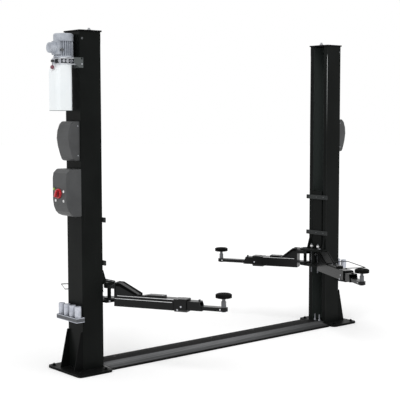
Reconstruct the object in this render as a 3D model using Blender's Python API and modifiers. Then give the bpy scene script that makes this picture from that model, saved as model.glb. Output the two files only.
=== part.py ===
"""Two post car lift: two open columns on base plates, joined by a low floor cover, with a sliding
carriage in each column, two three-stage arms on each carriage, a hydraulic power unit, a control box,
lock covers and adapter racks. Metres, +Z up, origin on the floor midway between the columns."""

import math

import bmesh
import bpy
from mathutils import Matrix

# Layout of the whole lift
COLUMN_SPACING = 2.93
LIFT_HEIGHT = 2.826
SEAT_GAP = 0.0003
RUNNING_GAP = 0.0008

# Column section, a folded sheet open towards the car
COLUMN_DEPTH = 0.200
COLUMN_WIDTH = 0.230
COLUMN_WALL = 0.006
COLUMN_LIP = 0.045
COLUMN_CHAMFER = 0.008

# Base plate and its gussets
BASE_THICKNESS = 0.020
BASE_OUTER_REACH = 0.128
BASE_INNER_REACH = 0.010
BASE_SIDE_REACH = 0.135
BASE_CORNER = 0.035
GUSSET_HEIGHT = 0.320
GUSSET_REACH = 0.090
GUSSET_TOP_REACH = 0.016
GUSSET_THICKNESS = 0.008

# Top plate
TOP_THICKNESS = 0.012
TOP_OVERHANG = 0.008
TOP_NOTCH_RADIUS = 0.006
TOP_NOTCH_INSET = 0.050
CABLE_STUD_RADIUS = 0.010
CABLE_STUD_HEIGHT = 0.027
CABLE_NUT_RADIUS = 0.0175
CABLE_NUT_HEIGHT = 0.015
CABLE_STUD_INSET = 0.034

# Floor cover, a folded sheet with a flat middle and two ramps
COVER_HALF_WIDTH = 0.200
COVER_FLAT_HALF_WIDTH = 0.086
COVER_HEIGHT = 0.030
COVER_EDGE_HEIGHT = 0.014
COVER_SHEET = 0.004
COVER_RAMP_SETBACK = 0.030
COVER_TONGUE_HALF_WIDTH = 0.100
COVER_BEARER_WIDTH = 0.040
COVER_BEARER_SPACING = 1.000

# Carriage: a formed section inside the column, with slide blocks and two lugs for the arms
LEFT_ARM_HEIGHT = 0.585
RIGHT_ARM_HEIGHT = 0.622
CARRIAGE_BELOW = 0.050
CARRIAGE_ABOVE = 0.740
CARRIAGE_WALL = 0.010
CARRIAGE_SIDE_GAP = 0.010
CARRIAGE_LIP_GAP = 0.006
CARRIAGE_DEPTH = 0.062
CARRIAGE_END_THICKNESS = 0.020
CARRIAGE_END_SHOULDER = 0.020
CARRIAGE_END_HALF_WIDTH = 0.088
NECK_SIDE_GAP = 0.010
NECK_REACH = 0.006
SLIDE_BLOCK_HEIGHT = 0.120
SLIDE_BLOCK_DEPTH = 0.040
PIVOT_REACH = 0.075
PIVOT_SPREAD = 0.200
PIN_RADIUS = 0.016
PIN_HEAD_RADIUS = 0.022
PIN_HEAD_HEIGHT = 0.008
PIN_CLEARANCE = 0.0005
LUG_RADIUS = 0.053
LUG_THICKNESS = 0.018
LUG_COLUMN_GAP = 0.006
UPPER_LUG_BASE = 0.136
LOWER_LUG_BASE = -0.018
RIB_HEIGHT = 0.100
RIB_REACH = 0.040
RIB_THICKNESS = 0.008
RIB_SPREAD = 0.200
SPACER_RADIUS = 0.025
SPACER_REACH = 0.050

# Arm lock rods beside the pivots
ROD_RADIUS = 0.007
ROD_REACH = 0.040
ROD_SPREAD = 0.086
ROD_BELOW = 0.089
ROD_KNOB_RADIUS = 0.010
ROD_KNOB_LIFT = 0.003
ROD_CLEARANCE = 0.0006
ROD_TIP = 0.036

# Door guards
GUARD_LEVELS = (0.316, 0.678)
GUARD_HEIGHT = 0.042
GUARD_HALF_LENGTH = 0.140
GUARD_REACH = 0.022
GUARD_CORNER = 0.004

# Arm sections
EAR_LEAF_GAP = 0.005
EAR_UPPER_THICKNESS = 0.031
EAR_LOWER_THICKNESS = 0.015
EAR_RADIUS = 0.045
END_PLATE_START = 0.070
END_PLATE_THICKNESS = 0.012
END_PLATE_TOP = 0.152
ARM_WIDTH = 0.100
ARM_HEIGHT = 0.090
ARM_WALL = 0.006
STAGE_SIDE_GAP = 0.002
STAGE_TOP_GAP = 0.003
INNER_HEIGHT = 0.031
WEDGE_FLAT = 0.050
WEDGE_THICKNESS = 0.008
WEDGE_INSET = 0.006
WEDGE_RECESS = 0.006
WEDGE_END_RISE = 0.020
STRIP_THICKNESS = 0.008
STRIP_HEIGHT = 0.067
COLLAR_LENGTH = 0.110
COLLAR_OVERLAP = 0.038
COLLAR_THICKNESS = 0.012
COLLAR_SIDE = 0.004
COLLAR_TOP = 0.003
COLLAR_CORNER = 0.018
COLLAR_STOP_LENGTH = 0.070
COLLAR_STOP_HEIGHT = 0.003
LOCK_PLATE_WIDTH = 0.070
LOCK_PLATE_HEIGHT = 0.020
STUB_LENGTH = 0.012
STUB_WIDTH = 0.020
STUB_HEIGHT = 0.014
STUB_INSET = 0.004
STAGE_SLOPE = 0.025
BOSS_SOLID = 0.050

# Long arms stand at the near side of the car, short arms at the far side
LONG_TUBE_END = 0.650
LONG_WEDGE_END = 0.290
LONG_LOCK_PLATE = (0.375, 0.515)
LONG_MIDDLE_REACH = 0.205
LONG_MIDDLE_LENGTH = 0.460
LONG_BOSS_REACH = 0.174
LONG_INNER_LENGTH = 0.480
LONG_BOW_END = 0.560
SHORT_TUBE_END = 0.480
SHORT_WEDGE_END = 0.232
SHORT_LOCK_PLATE = (0.257, 0.366)
SHORT_MIDDLE_REACH = 0.175
SHORT_MIDDLE_LENGTH = 0.370
SHORT_BOSS_REACH = 0.260
SHORT_INNER_LENGTH = 0.445
SHORT_BOW_END = 0.412

# Each arm's rest angle from the line across the columns' front and rear, turned towards the car
LEFT_FRONT_REST = 28.5
LEFT_REAR_REST = 25.5
RIGHT_FRONT_REST = 25.0
RIGHT_REAR_REST = 28.0

# Foot guard, a wire bow beside an arm
BOW_RADIUS = 0.004
BOW_REACH = 0.247
BOW_NEAR = 0.140
BOW_FOOT = 0.040
BOW_RISE = 0.047

# Lift pads and their two-stage screws
SCREW_RADIUS = 0.020
SCREW_RISE = 0.0495
SCREW_DROP = 0.006
INNER_SCREW_RADIUS = 0.014
INNER_SCREW_RISE = 0.038
SCREW_CLEARANCE = 0.0005
PAD_RADIUS = 0.065
PAD_THICKNESS = 0.023
PAD_ROUNDING = 0.006

# Hydraulic power unit on the left column
POWER_REACH = 0.085
POWER_DROP = 0.656
TANK_OFFSET = 0.032
TANK_WIDTH = 0.150
TANK_CORNER = 0.030
TANK_HEIGHT = 0.372
TANK_SHOULDER = 0.022
TANK_SLANT_WIDTH = 0.045
TANK_SLANT_HEIGHT = 0.055
TANK_SLANT_INSET = 0.003
VALVE_HEIGHT = 0.058
VALVE_DEPTH = 0.150
MOTOR_RADIUS = 0.0785
MOTOR_FIN = 0.007
MOTOR_FINS = 26
MOTOR_HEIGHT = 0.193
FAN_COVER_HEIGHT = 0.062
MOTOR_FLANGE_HEIGHT = 0.012
DRUM_RADIUS = 0.0425
DRUM_REACH = 0.055
DRUM_RISE = 0.077
TERMINAL_WIDTH = 0.096
TERMINAL_HEIGHT = 0.112
TERMINAL_REACH = 0.006
TERMINAL_DEPTH = 0.050
BRACKET_THICKNESS = 0.005
BRACKET_HEIGHT = 0.082
BRACKET_END_HEIGHT = 0.045
BRACKET_LAP = 0.026
BRACKET_REACH = 0.060
LEVER_RADIUS = 0.005
LEVER_STANDOFF = 0.036
LEVER_HUB_LENGTH = 0.014
LEVER_DROP = 0.050
LEVER_KNOB_RADIUS = 0.017
LEVER_HUB_RADIUS = 0.011

# Moulded covers on the outer faces
LOCK_COVER_HEIGHT = 0.325
LOCK_COVER_HALF_WIDTH = 0.096
LOCK_COVER_REACH = 0.105
LOCK_COVER_DROP = 0.410
CONTROL_HEIGHT = 0.392
CONTROL_HALF_WIDTH = 0.110
CONTROL_REACH = 0.140
CONTROL_DROP = 0.457
COVER_WALL = 0.004
COVER_ROUNDING = 0.012
SWITCH_RADIUS = 0.034
SWITCH_REACH = 0.024
SWITCH_KEY = 0.014
SWITCH_SHAFT_RADIUS = 0.006
SWITCH_SIDE = 0.010
SWITCH_RISE = 0.192
BUTTON_RADIUS = 0.011
BUTTON_REACH = 0.014
BUTTON_SIDE = 0.069
BUTTON_RISE = 0.227

# Adapter racks on the outer faces
RACK_BASE = 0.430
RACK_HEIGHT = 0.038
RACK_SHEET = 0.004
RACK_REACH = 0.080
RACK_START = -0.138
RACK_END = 0.166
ADAPTER_RADIUS = 0.024
ADAPTER_PITCH = 0.081
ADAPTER_COUNT = 4
ADAPTER_FIRST = -0.106
ADAPTER_REACH = 0.045
SHORT_ADAPTER = 0.126
TALL_ADAPTER = 0.216
ADAPTER_BORE = 0.017
ADAPTER_BORE_DEPTH = 0.060

# Facets on round shapes
ROUND = 32
SMALL_ROUND = 16
CORNER_STEPS = 5

# Values that follow from the sizes above
MOUTH = COLUMN_DEPTH / 2
WEB = -COLUMN_DEPTH / 2
FLANK = COLUMN_WIDTH / 2
COLUMN_TOP = LIFT_HEIGHT - TOP_THICKNESS - SEAT_GAP
NECK_FACE = MOUTH + NECK_REACH
PIVOT_X = MOUTH + PIVOT_REACH
UPPER_LUG_TOP = UPPER_LUG_BASE + LUG_THICKNESS
LOWER_LUG_TOP = LOWER_LUG_BASE + LUG_THICKNESS
POWER_X = WEB - POWER_REACH
TANK_BASE = LIFT_HEIGHT - POWER_DROP
LOCK_COVER_BASE = TANK_BASE - LOCK_COVER_DROP
CONTROL_BASE = LOCK_COVER_BASE - CONTROL_DROP
VALVE_BASE = TANK_BASE + TANK_HEIGHT + SEAT_GAP
MOTOR_BASE = VALVE_BASE + VALVE_HEIGHT + SEAT_GAP

FINISHES = {
    "black_paint": ((0.012, 0.013, 0.013), 0.38, 0.0),
    "dark_cover": ((0.018, 0.018, 0.019), 0.45, 0.0),
    "grey_plastic": ((0.085, 0.087, 0.090), 0.42, 0.0),
    "light_metal": ((0.52, 0.54, 0.58), 0.35, 0.6),
    "zinc": ((0.58, 0.59, 0.62), 0.32, 0.8),
    "white_plastic": ((0.86, 0.88, 0.90), 0.35, 0.0),
    "rubber": ((0.008, 0.008, 0.008), 0.75, 0.0),
    "steel": ((0.45, 0.45, 0.46), 0.30, 1.0),
    "red_plastic": ((0.50, 0.01, 0.015), 0.35, 0.0),
    "green_plastic": ((0.08, 0.45, 0.06), 0.40, 0.0),
    "maroon_plastic": ((0.16, 0.04, 0.06), 0.40, 0.0),
}


def clear_scene():
    for old in list(bpy.data.objects):
        bpy.data.objects.remove(old)


def make_collection(name, hidden):
    collection = bpy.data.collections.new(name)
    collection.hide_render = hidden
    bpy.context.scene.collection.children.link(collection)
    return collection


clear_scene()
LIFT = make_collection("two_post_car_lift", False)
TOOLS = make_collection("boolean_tools", True)


def finish(name):
    material = bpy.data.materials.get(name)
    if material is None:
        colour, roughness, metallic = FINISHES[name]
        material = bpy.data.materials.new(name)
        material.use_nodes = True
        shader = material.node_tree.nodes["Principled BSDF"]
        shader.inputs["Base Color"].default_value = (*colour, 1)
        shader.inputs["Roughness"].default_value = roughness
        shader.inputs["Metallic"].default_value = metallic
    return material


def frame(name, parent=None, location=(0, 0, 0), turn=0.0):
    empty = bpy.data.objects.new(name, None)
    LIFT.objects.link(empty)
    empty.parent = parent
    empty.location = location
    empty.rotation_euler = (0, 0, turn)
    return empty


def place(obj, name, parent, surface):
    """Makes a working shape into a named sub-part of the lift."""
    TOOLS.objects.unlink(obj)
    LIFT.objects.link(obj)
    obj.name = name
    obj.data.name = name
    obj.parent = parent
    obj.hide_render = False
    obj.display_type = "TEXTURED"
    obj.data.materials.clear()
    obj.data.materials.append(finish(surface))
    obj.data.shade_smooth()
    obj.data.set_sharp_from_angle(angle=math.radians(30))
    return obj


def shape(mesh, name="shape"):
    obj = bpy.data.objects.new(name, mesh)
    TOOLS.objects.link(obj)
    obj.hide_render = True
    obj.display_type = "WIRE"
    return obj


def from_bmesh(bm):
    mesh = bpy.data.meshes.new("shape")
    bmesh.ops.recalc_face_normals(bm, faces=bm.faces)
    bm.to_mesh(mesh)
    bm.free()
    return shape(mesh)


def block(x, y, z, bevel=0.0):
    """A box between two values on each axis."""
    bm = bmesh.new()
    bmesh.ops.create_cube(bm, size=1.0)
    size = Matrix.Diagonal((x[1] - x[0], y[1] - y[0], z[1] - z[0], 1))
    centre = Matrix.Translation(((x[0] + x[1]) / 2, (y[0] + y[1]) / 2, (z[0] + z[1]) / 2))
    bmesh.ops.transform(bm, matrix=centre @ size, verts=bm.verts)
    if bevel:
        bmesh.ops.bevel(bm, geom=bm.edges[:], offset=bevel, segments=2, affect="EDGES", profile=0.5)
    return from_bmesh(bm)


AXIS_TURNS = {
    "X": Matrix.Rotation(math.pi / 2, 4, "Y"),
    "Y": Matrix.Rotation(-math.pi / 2, 4, "X"),
    "Z": Matrix.Identity(4),
}


def rod(centre, radius, span, axis="Z", sides=ROUND, top_radius=None):
    """A cylinder or cone along an axis; span holds its two ends on that axis."""
    bm = bmesh.new()
    end = radius if top_radius is None else top_radius
    bmesh.ops.create_cone(
        bm, cap_ends=True, segments=sides, radius1=radius, radius2=end, depth=span[1] - span[0]
    )
    middle = (span[0] + span[1]) / 2
    place_at = {
        "X": (middle, centre[0], centre[1]),
        "Y": (centre[0], middle, centre[1]),
        "Z": (centre[0], centre[1], middle),
    }[axis]
    matrix = Matrix.Translation(place_at) @ AXIS_TURNS[axis]
    bmesh.ops.transform(bm, matrix=matrix, verts=bm.verts)
    return from_bmesh(bm)


def ball(centre, radius, sides=SMALL_ROUND):
    bm = bmesh.new()
    bmesh.ops.create_uvsphere(bm, u_segments=sides, v_segments=sides // 2, radius=radius)
    turn = Matrix.Rotation(math.pi / sides / 2, 4, "Z")
    bmesh.ops.transform(bm, matrix=Matrix.Translation(centre) @ turn, verts=bm.verts)
    return from_bmesh(bm)


def arc(centre, radius, start, end, steps=CORNER_STEPS):
    angles = [math.radians(start + (end - start) * i / steps) for i in range(steps + 1)]
    return [(centre[0] + radius * math.cos(a), centre[1] + radius * math.sin(a)) for a in angles]


def circle(centre, radius, sides=ROUND):
    return arc(centre, radius, 0, 360, sides)[:-1]


def rounded_box(x, y, radius):
    """A rectangle's outline with four round corners."""
    return (
        arc((x[1] - radius, y[1] - radius), radius, 0, 90)
        + arc((x[0] + radius, y[1] - radius), radius, 90, 180)
        + arc((x[0] + radius, y[0] + radius), radius, 180, 270)
        + arc((x[1] - radius, y[0] + radius), radius, 270, 360)
    )


PLANES = {
    "XY": Matrix.Identity(4),
    "XZ": Matrix.Rotation(math.pi / 2, 4, "X"),
    "YZ": Matrix(((0, 0, 1, 0), (1, 0, 0, 0), (0, 1, 0, 0), (0, 0, 0, 1))),
}


def plate(outlines, span, plane="XY"):
    """Flat outlines, the first one filled and the others holes in it, given a thickness from span."""
    curve = bpy.data.curves.new("outline", "CURVE")
    curve.dimensions = "2D"
    curve.fill_mode = "BOTH"
    curve.extrude = (span[1] - span[0]) / 2
    for outline in outlines:
        spline = curve.splines.new("POLY")
        spline.points.add(len(outline) - 1)
        for point, (a, b) in zip(spline.points, outline):
            point.co = (a, b, 0, 1)
        spline.use_cyclic_u = True
    middle = (span[0] + span[1]) / 2
    shift = {"XY": (0, 0, middle), "XZ": (0, middle, 0), "YZ": (middle, 0, 0)}[plane]
    return solid_from_curve(curve, Matrix.Translation(shift) @ PLANES[plane])


def solid_from_curve(curve, matrix):
    guide = bpy.data.objects.new("guide", curve)
    TOOLS.objects.link(guide)
    bpy.context.view_layer.update()
    mesh = bpy.data.meshes.new_from_object(guide.evaluated_get(bpy.context.evaluated_depsgraph_get()))
    bpy.data.objects.remove(guide)
    bpy.data.curves.remove(curve)
    bm = bmesh.new()
    bm.from_mesh(mesh)
    bpy.data.meshes.remove(mesh)
    bmesh.ops.remove_doubles(bm, verts=bm.verts, dist=0.00001)
    bmesh.ops.transform(bm, matrix=matrix, verts=bm.verts)
    return from_bmesh(bm)


def wire(points, radius):
    curve = bpy.data.curves.new("wire", "CURVE")
    curve.dimensions = "3D"
    curve.bevel_depth = radius
    curve.bevel_resolution = 2
    curve.use_fill_caps = True
    spline = curve.splines.new("POLY")
    spline.points.add(len(points) - 1)
    for point, place_at in zip(spline.points, points):
        point.co = (*place_at, 1)
    return solid_from_curve(curve, Matrix.Identity(4))


def folded_sheet(path, height, thickness):
    """A sheet bent along an open path in XY, given its thickness towards the path's left side."""
    bm = bmesh.new()
    low = [bm.verts.new((x, y, height[0])) for x, y in path]
    high = [bm.verts.new((x, y, height[1])) for x, y in path]
    for i in range(len(path) - 1):
        bm.faces.new((low[i], low[i + 1], high[i + 1], high[i]))
    mesh = bpy.data.meshes.new("sheet")
    bm.to_mesh(mesh)
    bm.free()
    obj = shape(mesh)
    solidify = obj.modifiers.new("thickness", "SOLIDIFY")
    solidify.thickness = thickness
    solidify.offset = -1
    solidify.use_even_offset = True
    return settled(obj)


def turned(profile, centre=(0, 0), sides=ROUND):
    """A profile of (radius, z) points, from top to bottom, turned round the Z axis."""
    mesh = bpy.data.meshes.new("profile")
    points = [(r, 0, z) for r, z in profile]
    mesh.from_pydata(points, [(i, i + 1) for i in range(len(points) - 1)], [])
    obj = shape(mesh)
    screw = obj.modifiers.new("turn", "SCREW")
    screw.steps = sides
    screw.render_steps = sides
    screw.use_merge_vertices = True
    screw.merge_threshold = 0.00001
    bm = bmesh.new()
    bm.from_mesh(settled(obj).data)
    bpy.data.objects.remove(obj)
    bmesh.ops.remove_doubles(bm, verts=bm.verts, dist=0.00001)
    bmesh.ops.transform(bm, matrix=Matrix.Translation((*centre, 0)), verts=bm.verts)
    return from_bmesh(bm)


def settled(obj):
    """The shape with its modifiers made permanent."""
    bpy.context.view_layer.update()
    mesh = bpy.data.meshes.new_from_object(obj.evaluated_get(bpy.context.evaluated_depsgraph_get()))
    for modifier in obj.modifiers:
        if modifier.type == "BOOLEAN":
            bpy.data.objects.remove(modifier.object)
    bm = bmesh.new()
    bm.from_mesh(mesh)
    bmesh.ops.triangulate(bm, faces=bm.faces)
    bmesh.ops.dissolve_degenerate(bm, dist=0.00001, edges=bm.edges)
    bm.to_mesh(mesh)
    bm.free()
    obj.modifiers.clear()
    obj.data = mesh
    return obj


def combine(obj, tools, operation):
    for tool in tools:
        boolean = obj.modifiers.new(operation.lower(), "BOOLEAN")
        boolean.operation = operation
        boolean.solver = "EXACT"
        boolean.object = tool
    return settled(obj)


def rounded(obj, radius, steps=2):
    """The shape with its sharp edges rounded."""
    bevel = obj.modifiers.new("edges", "BEVEL")
    bevel.width = radius
    bevel.segments = steps
    bevel.limit_method = "ANGLE"
    bevel.angle_limit = math.radians(40)
    bevel.use_clamp_overlap = True
    return settled(obj)


def join(obj, *tools):
    return combine(obj, tools, "UNION")


def cut(obj, *tools):
    return combine(obj, tools, "DIFFERENCE")


def hole_radius(radius, clearance, sides):
    """The corner radius of a faceted hole whose flats clear a rod of this radius."""
    return (radius + clearance) / math.cos(math.pi / sides)


def column_path(inset=0.0, lip=True):
    """The column's section from one lip round the web to the other lip."""
    flank, mouth, web = FLANK + inset, MOUTH + inset, WEB - inset
    path = [
        (mouth, flank),
        (web + COLUMN_CHAMFER, flank),
        (web, flank - COLUMN_CHAMFER),
        (web, -flank + COLUMN_CHAMFER),
        (web + COLUMN_CHAMFER, -flank),
        (mouth, -flank),
    ]
    if lip:
        path = [(mouth, FLANK - COLUMN_LIP)] + path + [(mouth, COLUMN_LIP - FLANK)]
    return path


def build_post(side, post):
    """The fixed pieces that both columns have."""
    column = folded_sheet(column_path(), (BASE_THICKNESS + SEAT_GAP, COLUMN_TOP), COLUMN_WALL)
    place(column, f"{side}_column", post, "black_paint")
    build_foot(side, post)
    build_top(side, post)


def build_foot(side, post):
    x = (WEB - BASE_OUTER_REACH, MOUTH + BASE_INNER_REACH)
    y = (-FLANK - BASE_SIDE_REACH, FLANK + BASE_SIDE_REACH)
    foot = plate([rounded_box(x, y, BASE_CORNER)], (0, BASE_THICKNESS))
    outer = WEB - GUSSET_REACH
    inner = WEB - SEAT_GAP
    flat = FLANK - COLUMN_CHAMFER
    top = BASE_THICKNESS + GUSSET_HEIGHT
    outline = [
        (inner, BASE_THICKNESS / 2),
        (outer, BASE_THICKNESS / 2),
        (WEB - GUSSET_TOP_REACH, top),
        (inner, top),
    ]
    gussets = [
        plate([outline], span, "XZ")
        for span in ((-flat, GUSSET_THICKNESS - flat), (flat - GUSSET_THICKNESS, flat))
    ]
    place(join(foot, *gussets), f"{side}_foot", post, "black_paint")


def build_top(side, post):
    top = plate([column_path(TOP_OVERHANG, lip=False)], (COLUMN_TOP + SEAT_GAP, LIFT_HEIGHT))
    notch_x = MOUTH - TOP_NOTCH_INSET
    through = (COLUMN_TOP - TOP_THICKNESS, LIFT_HEIGHT + TOP_THICKNESS)
    notches = [
        rod((notch_x, sign * (FLANK + TOP_OVERHANG)), TOP_NOTCH_RADIUS, through, sides=SMALL_ROUND)
        for sign in (-1, 1)
    ]
    top = cut(top, *notches)
    at = (MOUTH - CABLE_STUD_INSET, 0)
    seat = LIFT_HEIGHT - TOP_THICKNESS / 2
    nut = rod(at, CABLE_NUT_RADIUS, (seat, LIFT_HEIGHT + CABLE_NUT_HEIGHT), sides=6)
    stud = rod(at, CABLE_STUD_RADIUS, (seat, LIFT_HEIGHT + CABLE_STUD_HEIGHT), sides=SMALL_ROUND)
    place(join(top, nut, stud), f"{side}_top_plate", post, "black_paint")


def build_carriage(side, post, height):
    """The carriage with its lugs and pivot pins, its door guards and its two arm lock rods."""
    carriage = frame(f"{side}_carriage_frame", post, (0, 0, height))
    face = MOUTH - COLUMN_WALL - CARRIAGE_LIP_GAP
    flank = FLANK - COLUMN_WALL - CARRIAGE_SIDE_GAP
    back = face - CARRIAGE_DEPTH
    tall = (-CARRIAGE_BELOW, CARRIAGE_ABOVE)
    section = [
        (back, -flank),
        (face, -flank),
        (face, flank),
        (back, flank),
        (back, flank - CARRIAGE_WALL),
        (face - CARRIAGE_WALL, flank - CARRIAGE_WALL),
        (face - CARRIAGE_WALL, CARRIAGE_WALL - flank),
        (back, CARRIAGE_WALL - flank),
    ]
    body = plate([section], tall)
    neck = COLUMN_WIDTH / 2 - COLUMN_LIP - NECK_SIDE_GAP
    tools = [block((face - CARRIAGE_WALL / 2, NECK_FACE), (-neck, neck), tall)]
    web = WEB + COLUMN_WALL + RUNNING_GAP
    shoulder = WEB + CARRIAGE_END_SHOULDER
    end = [
        (face - CARRIAGE_WALL / 2, -flank),
        (face - CARRIAGE_WALL / 2, flank),
        (shoulder, flank),
        (web, CARRIAGE_END_HALF_WIDTH),
        (web, -CARRIAGE_END_HALF_WIDTH),
        (shoulder, -flank),
    ]
    lip = MOUTH - COLUMN_WALL - RUNNING_GAP
    wall = FLANK - COLUMN_WALL - RUNNING_GAP
    for low, high in (
        (tall[0], tall[0] + SLIDE_BLOCK_HEIGHT),
        (tall[1] - SLIDE_BLOCK_HEIGHT, tall[1]),
    ):
        middle = (low + high) / 2
        thick = (middle - CARRIAGE_END_THICKNESS / 2, middle + CARRIAGE_END_THICKNESS / 2)
        tools.append(plate([end], thick))
        for y in ((flank - CARRIAGE_WALL / 2, wall), (-wall, CARRIAGE_WALL / 2 - flank)):
            tools.append(block((lip - SLIDE_BLOCK_DEPTH, lip), y, (low, high)))
    tools += lugs()
    body = join(body, *tools)
    holes = [
        rod(
            (MOUTH + ROD_REACH, sign * ROD_SPREAD / 2),
            hole_radius(ROD_RADIUS, ROD_CLEARANCE, SMALL_ROUND),
            (LOWER_LUG_BASE - LUG_THICKNESS, UPPER_LUG_TOP + LUG_THICKNESS),
            sides=SMALL_ROUND,
        )
        for sign in (-1, 1)
    ]
    place(cut(body, *holes), f"{side}_carriage", carriage, "black_paint")
    build_guards(side, carriage)
    build_rods(side, carriage)
    return carriage


def lugs():
    """Two plates that carry both arms' pivot pins, the ribs above them and the tube between them."""
    spread = PIVOT_SPREAD / 2
    near = MOUTH + LUG_COLUMN_GAP
    outline = (
        [(near, -spread - LUG_RADIUS)]
        + arc((PIVOT_X, -spread), LUG_RADIUS, -90, 0, 8)
        + arc((PIVOT_X, spread), LUG_RADIUS, 0, 90, 8)
        + [(near, spread + LUG_RADIUS)]
    )
    tools = [
        plate([outline], (UPPER_LUG_BASE, UPPER_LUG_TOP)),
        plate([outline], (LOWER_LUG_BASE, LOWER_LUG_TOP)),
    ]
    rib = [
        (near, UPPER_LUG_TOP - LUG_THICKNESS / 2),
        (near + RIB_REACH, UPPER_LUG_TOP - LUG_THICKNESS / 2),
        (near + RIB_REACH, UPPER_LUG_TOP),
        (near + RIB_THICKNESS, UPPER_LUG_TOP + RIB_HEIGHT),
        (near, UPPER_LUG_TOP + RIB_HEIGHT),
    ]
    for sign in (-1, 1):
        middle = sign * RIB_SPREAD / 2
        tools.append(plate([rib], (middle - RIB_THICKNESS / 2, middle + RIB_THICKNESS / 2), "XZ"))
        at = (PIVOT_X, sign * spread)
        tools.append(rod(at, PIN_RADIUS, (LOWER_LUG_BASE, UPPER_LUG_TOP)))
        tools.append(
            rod(at, PIN_HEAD_RADIUS, (UPPER_LUG_TOP - PIN_HEAD_HEIGHT, UPPER_LUG_TOP + PIN_HEAD_HEIGHT))
        )
    tools.append(
        rod((MOUTH + SPACER_REACH, 0), SPACER_RADIUS, (LOWER_LUG_BASE / 2, UPPER_LUG_BASE + LUG_THICKNESS / 2))
    )
    return tools


def build_guards(side, carriage):
    for name, level in zip(("lower", "upper"), GUARD_LEVELS):
        guard = block(
            (NECK_FACE + SEAT_GAP, MOUTH + GUARD_REACH),
            (-GUARD_HALF_LENGTH, GUARD_HALF_LENGTH),
            (level - GUARD_HEIGHT / 2, level + GUARD_HEIGHT / 2),
            GUARD_CORNER,
        )
        place(guard, f"{side}_{name}_door_guard", carriage, "rubber")


def build_rods(side, carriage):
    names = {"left": ("front", "rear"), "right": ("rear", "front")}[side]
    for name, sign in zip(names, (-1, 1)):
        at = (MOUTH + ROD_REACH, sign * ROD_SPREAD / 2)
        knob_at = UPPER_LUG_TOP + ROD_KNOB_LIFT + ROD_KNOB_RADIUS
        stem = rod(at, ROD_RADIUS, (-ROD_BELOW, knob_at + ROD_TIP), sides=SMALL_ROUND)
        knob = ball((*at, knob_at), ROD_KNOB_RADIUS)
        place(join(stem, knob), f"{side}_{name}_lock_rod", carriage, "steel")


def build_arm(name, carriage, sign, rest, sizes, bow):
    """One telescoping arm. It points along its frame's +X, and its outward side has the sign given."""
    turn = sign * math.radians(90 - rest)
    arm = frame(f"{name}_arm_frame", carriage, (PIVOT_X, sign * PIVOT_SPREAD / 2, 0), turn)
    place(arm_outer(sign, sizes, bow), f"{name}_arm_outer", arm, "black_paint")
    floor = -ARM_HEIGHT / 2 + ARM_WALL + RUNNING_GAP
    roof = ARM_HEIGHT / 2 - ARM_WALL - STAGE_TOP_GAP
    half = ARM_WIDTH / 2 - ARM_WALL - STAGE_SIDE_GAP
    place(arm_middle(sizes, half, floor, roof), f"{name}_arm_middle", arm, "black_paint")
    half -= ARM_WALL + STAGE_SIDE_GAP
    floor += ARM_WALL + RUNNING_GAP
    place(arm_inner(sizes, half, floor), f"{name}_arm_inner", arm, "black_paint")
    build_pad(name, arm, sizes["boss"], floor)


def arm_outer(sign, sizes, bow):
    half = ARM_WIDTH / 2
    rise = ARM_HEIGHT / 2
    joint = END_PLATE_START + END_PLATE_THICKNESS / 2
    ear = arc((0, 0), EAR_RADIUS, 90, 270, 12) + [(joint, -half), (joint, half)]
    hole = circle((0, 0), hole_radius(PIN_RADIUS, PIN_CLEARANCE, ROUND))
    upper = UPPER_LUG_BASE - EAR_LEAF_GAP
    lower = LOWER_LUG_TOP + EAR_LEAF_GAP
    tube = plate(
        [
            [(-half, -rise), (half, -rise), (half, rise), (-half, rise)],
            [
                (-half + ARM_WALL, -rise + ARM_WALL),
                (half - ARM_WALL, -rise + ARM_WALL),
                (half - ARM_WALL, rise - ARM_WALL),
                (-half + ARM_WALL, rise - ARM_WALL),
            ],
        ],
        (joint, sizes["tube_end"]),
        "YZ",
    )
    end_plate = (END_PLATE_START, END_PLATE_START + END_PLATE_THICKNESS)
    lock_start, lock_end = sizes["lock_plate"]
    ramp = [
        (sizes["wedge_end"], rise - ARM_WALL / 2),
        (lock_end, rise - ARM_WALL / 2),
        (lock_end, rise + LOCK_PLATE_HEIGHT),
        (lock_start, rise + LOCK_PLATE_HEIGHT),
        (sizes["wedge_end"], rise + ARM_WALL / 2),
    ]
    tools = [
        plate([ear, hole], (upper - EAR_UPPER_THICKNESS, upper)),
        plate([ear, hole], (lower, lower + EAR_LOWER_THICKNESS)),
        block(end_plate, (-half, half), (-rise, END_PLATE_TOP)),
        plate([ramp], (-LOCK_PLATE_WIDTH / 2, LOCK_PLATE_WIDTH / 2), "XZ"),
    ]
    outside = half - WEDGE_INSET
    for span in ((outside - WEDGE_THICKNESS, outside), (-outside, WEDGE_THICKNESS - outside)):
        tools.append(plate([wedge(joint, rise, sizes["wedge_end"], 0)], span, "XZ"))
    core = outside - WEDGE_THICKNESS / 2
    tools.append(plate([wedge(joint, rise, sizes["wedge_end"], WEDGE_RECESS)], (-core, core), "XZ"))
    tools += collar(sizes["tube_end"], half, rise)
    if bow:
        tools.append(foot_guard(sign, sizes["bow_end"]))
    else:
        strip = sorted((sign * (half - ARM_WALL / 2), sign * (half + STRIP_THICKNESS)))
        start = sizes["tube_end"] - COLLAR_OVERLAP
        tools.append(block((joint, start), strip, (-rise, STRIP_HEIGHT - rise)))
    return join(tube, *tools)


def wedge(start, rise, end, recess):
    """The side outline of the stiffener on top of the arm, or of the plate set into it by a recess."""
    return [
        (start, rise - ARM_WALL / 2),
        (end - recess, rise - ARM_WALL / 2),
        (end - recess, rise + WEDGE_END_RISE - recess),
        (END_PLATE_START + WEDGE_FLAT, END_PLATE_TOP - recess),
        (start, END_PLATE_TOP - recess),
    ]


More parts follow.
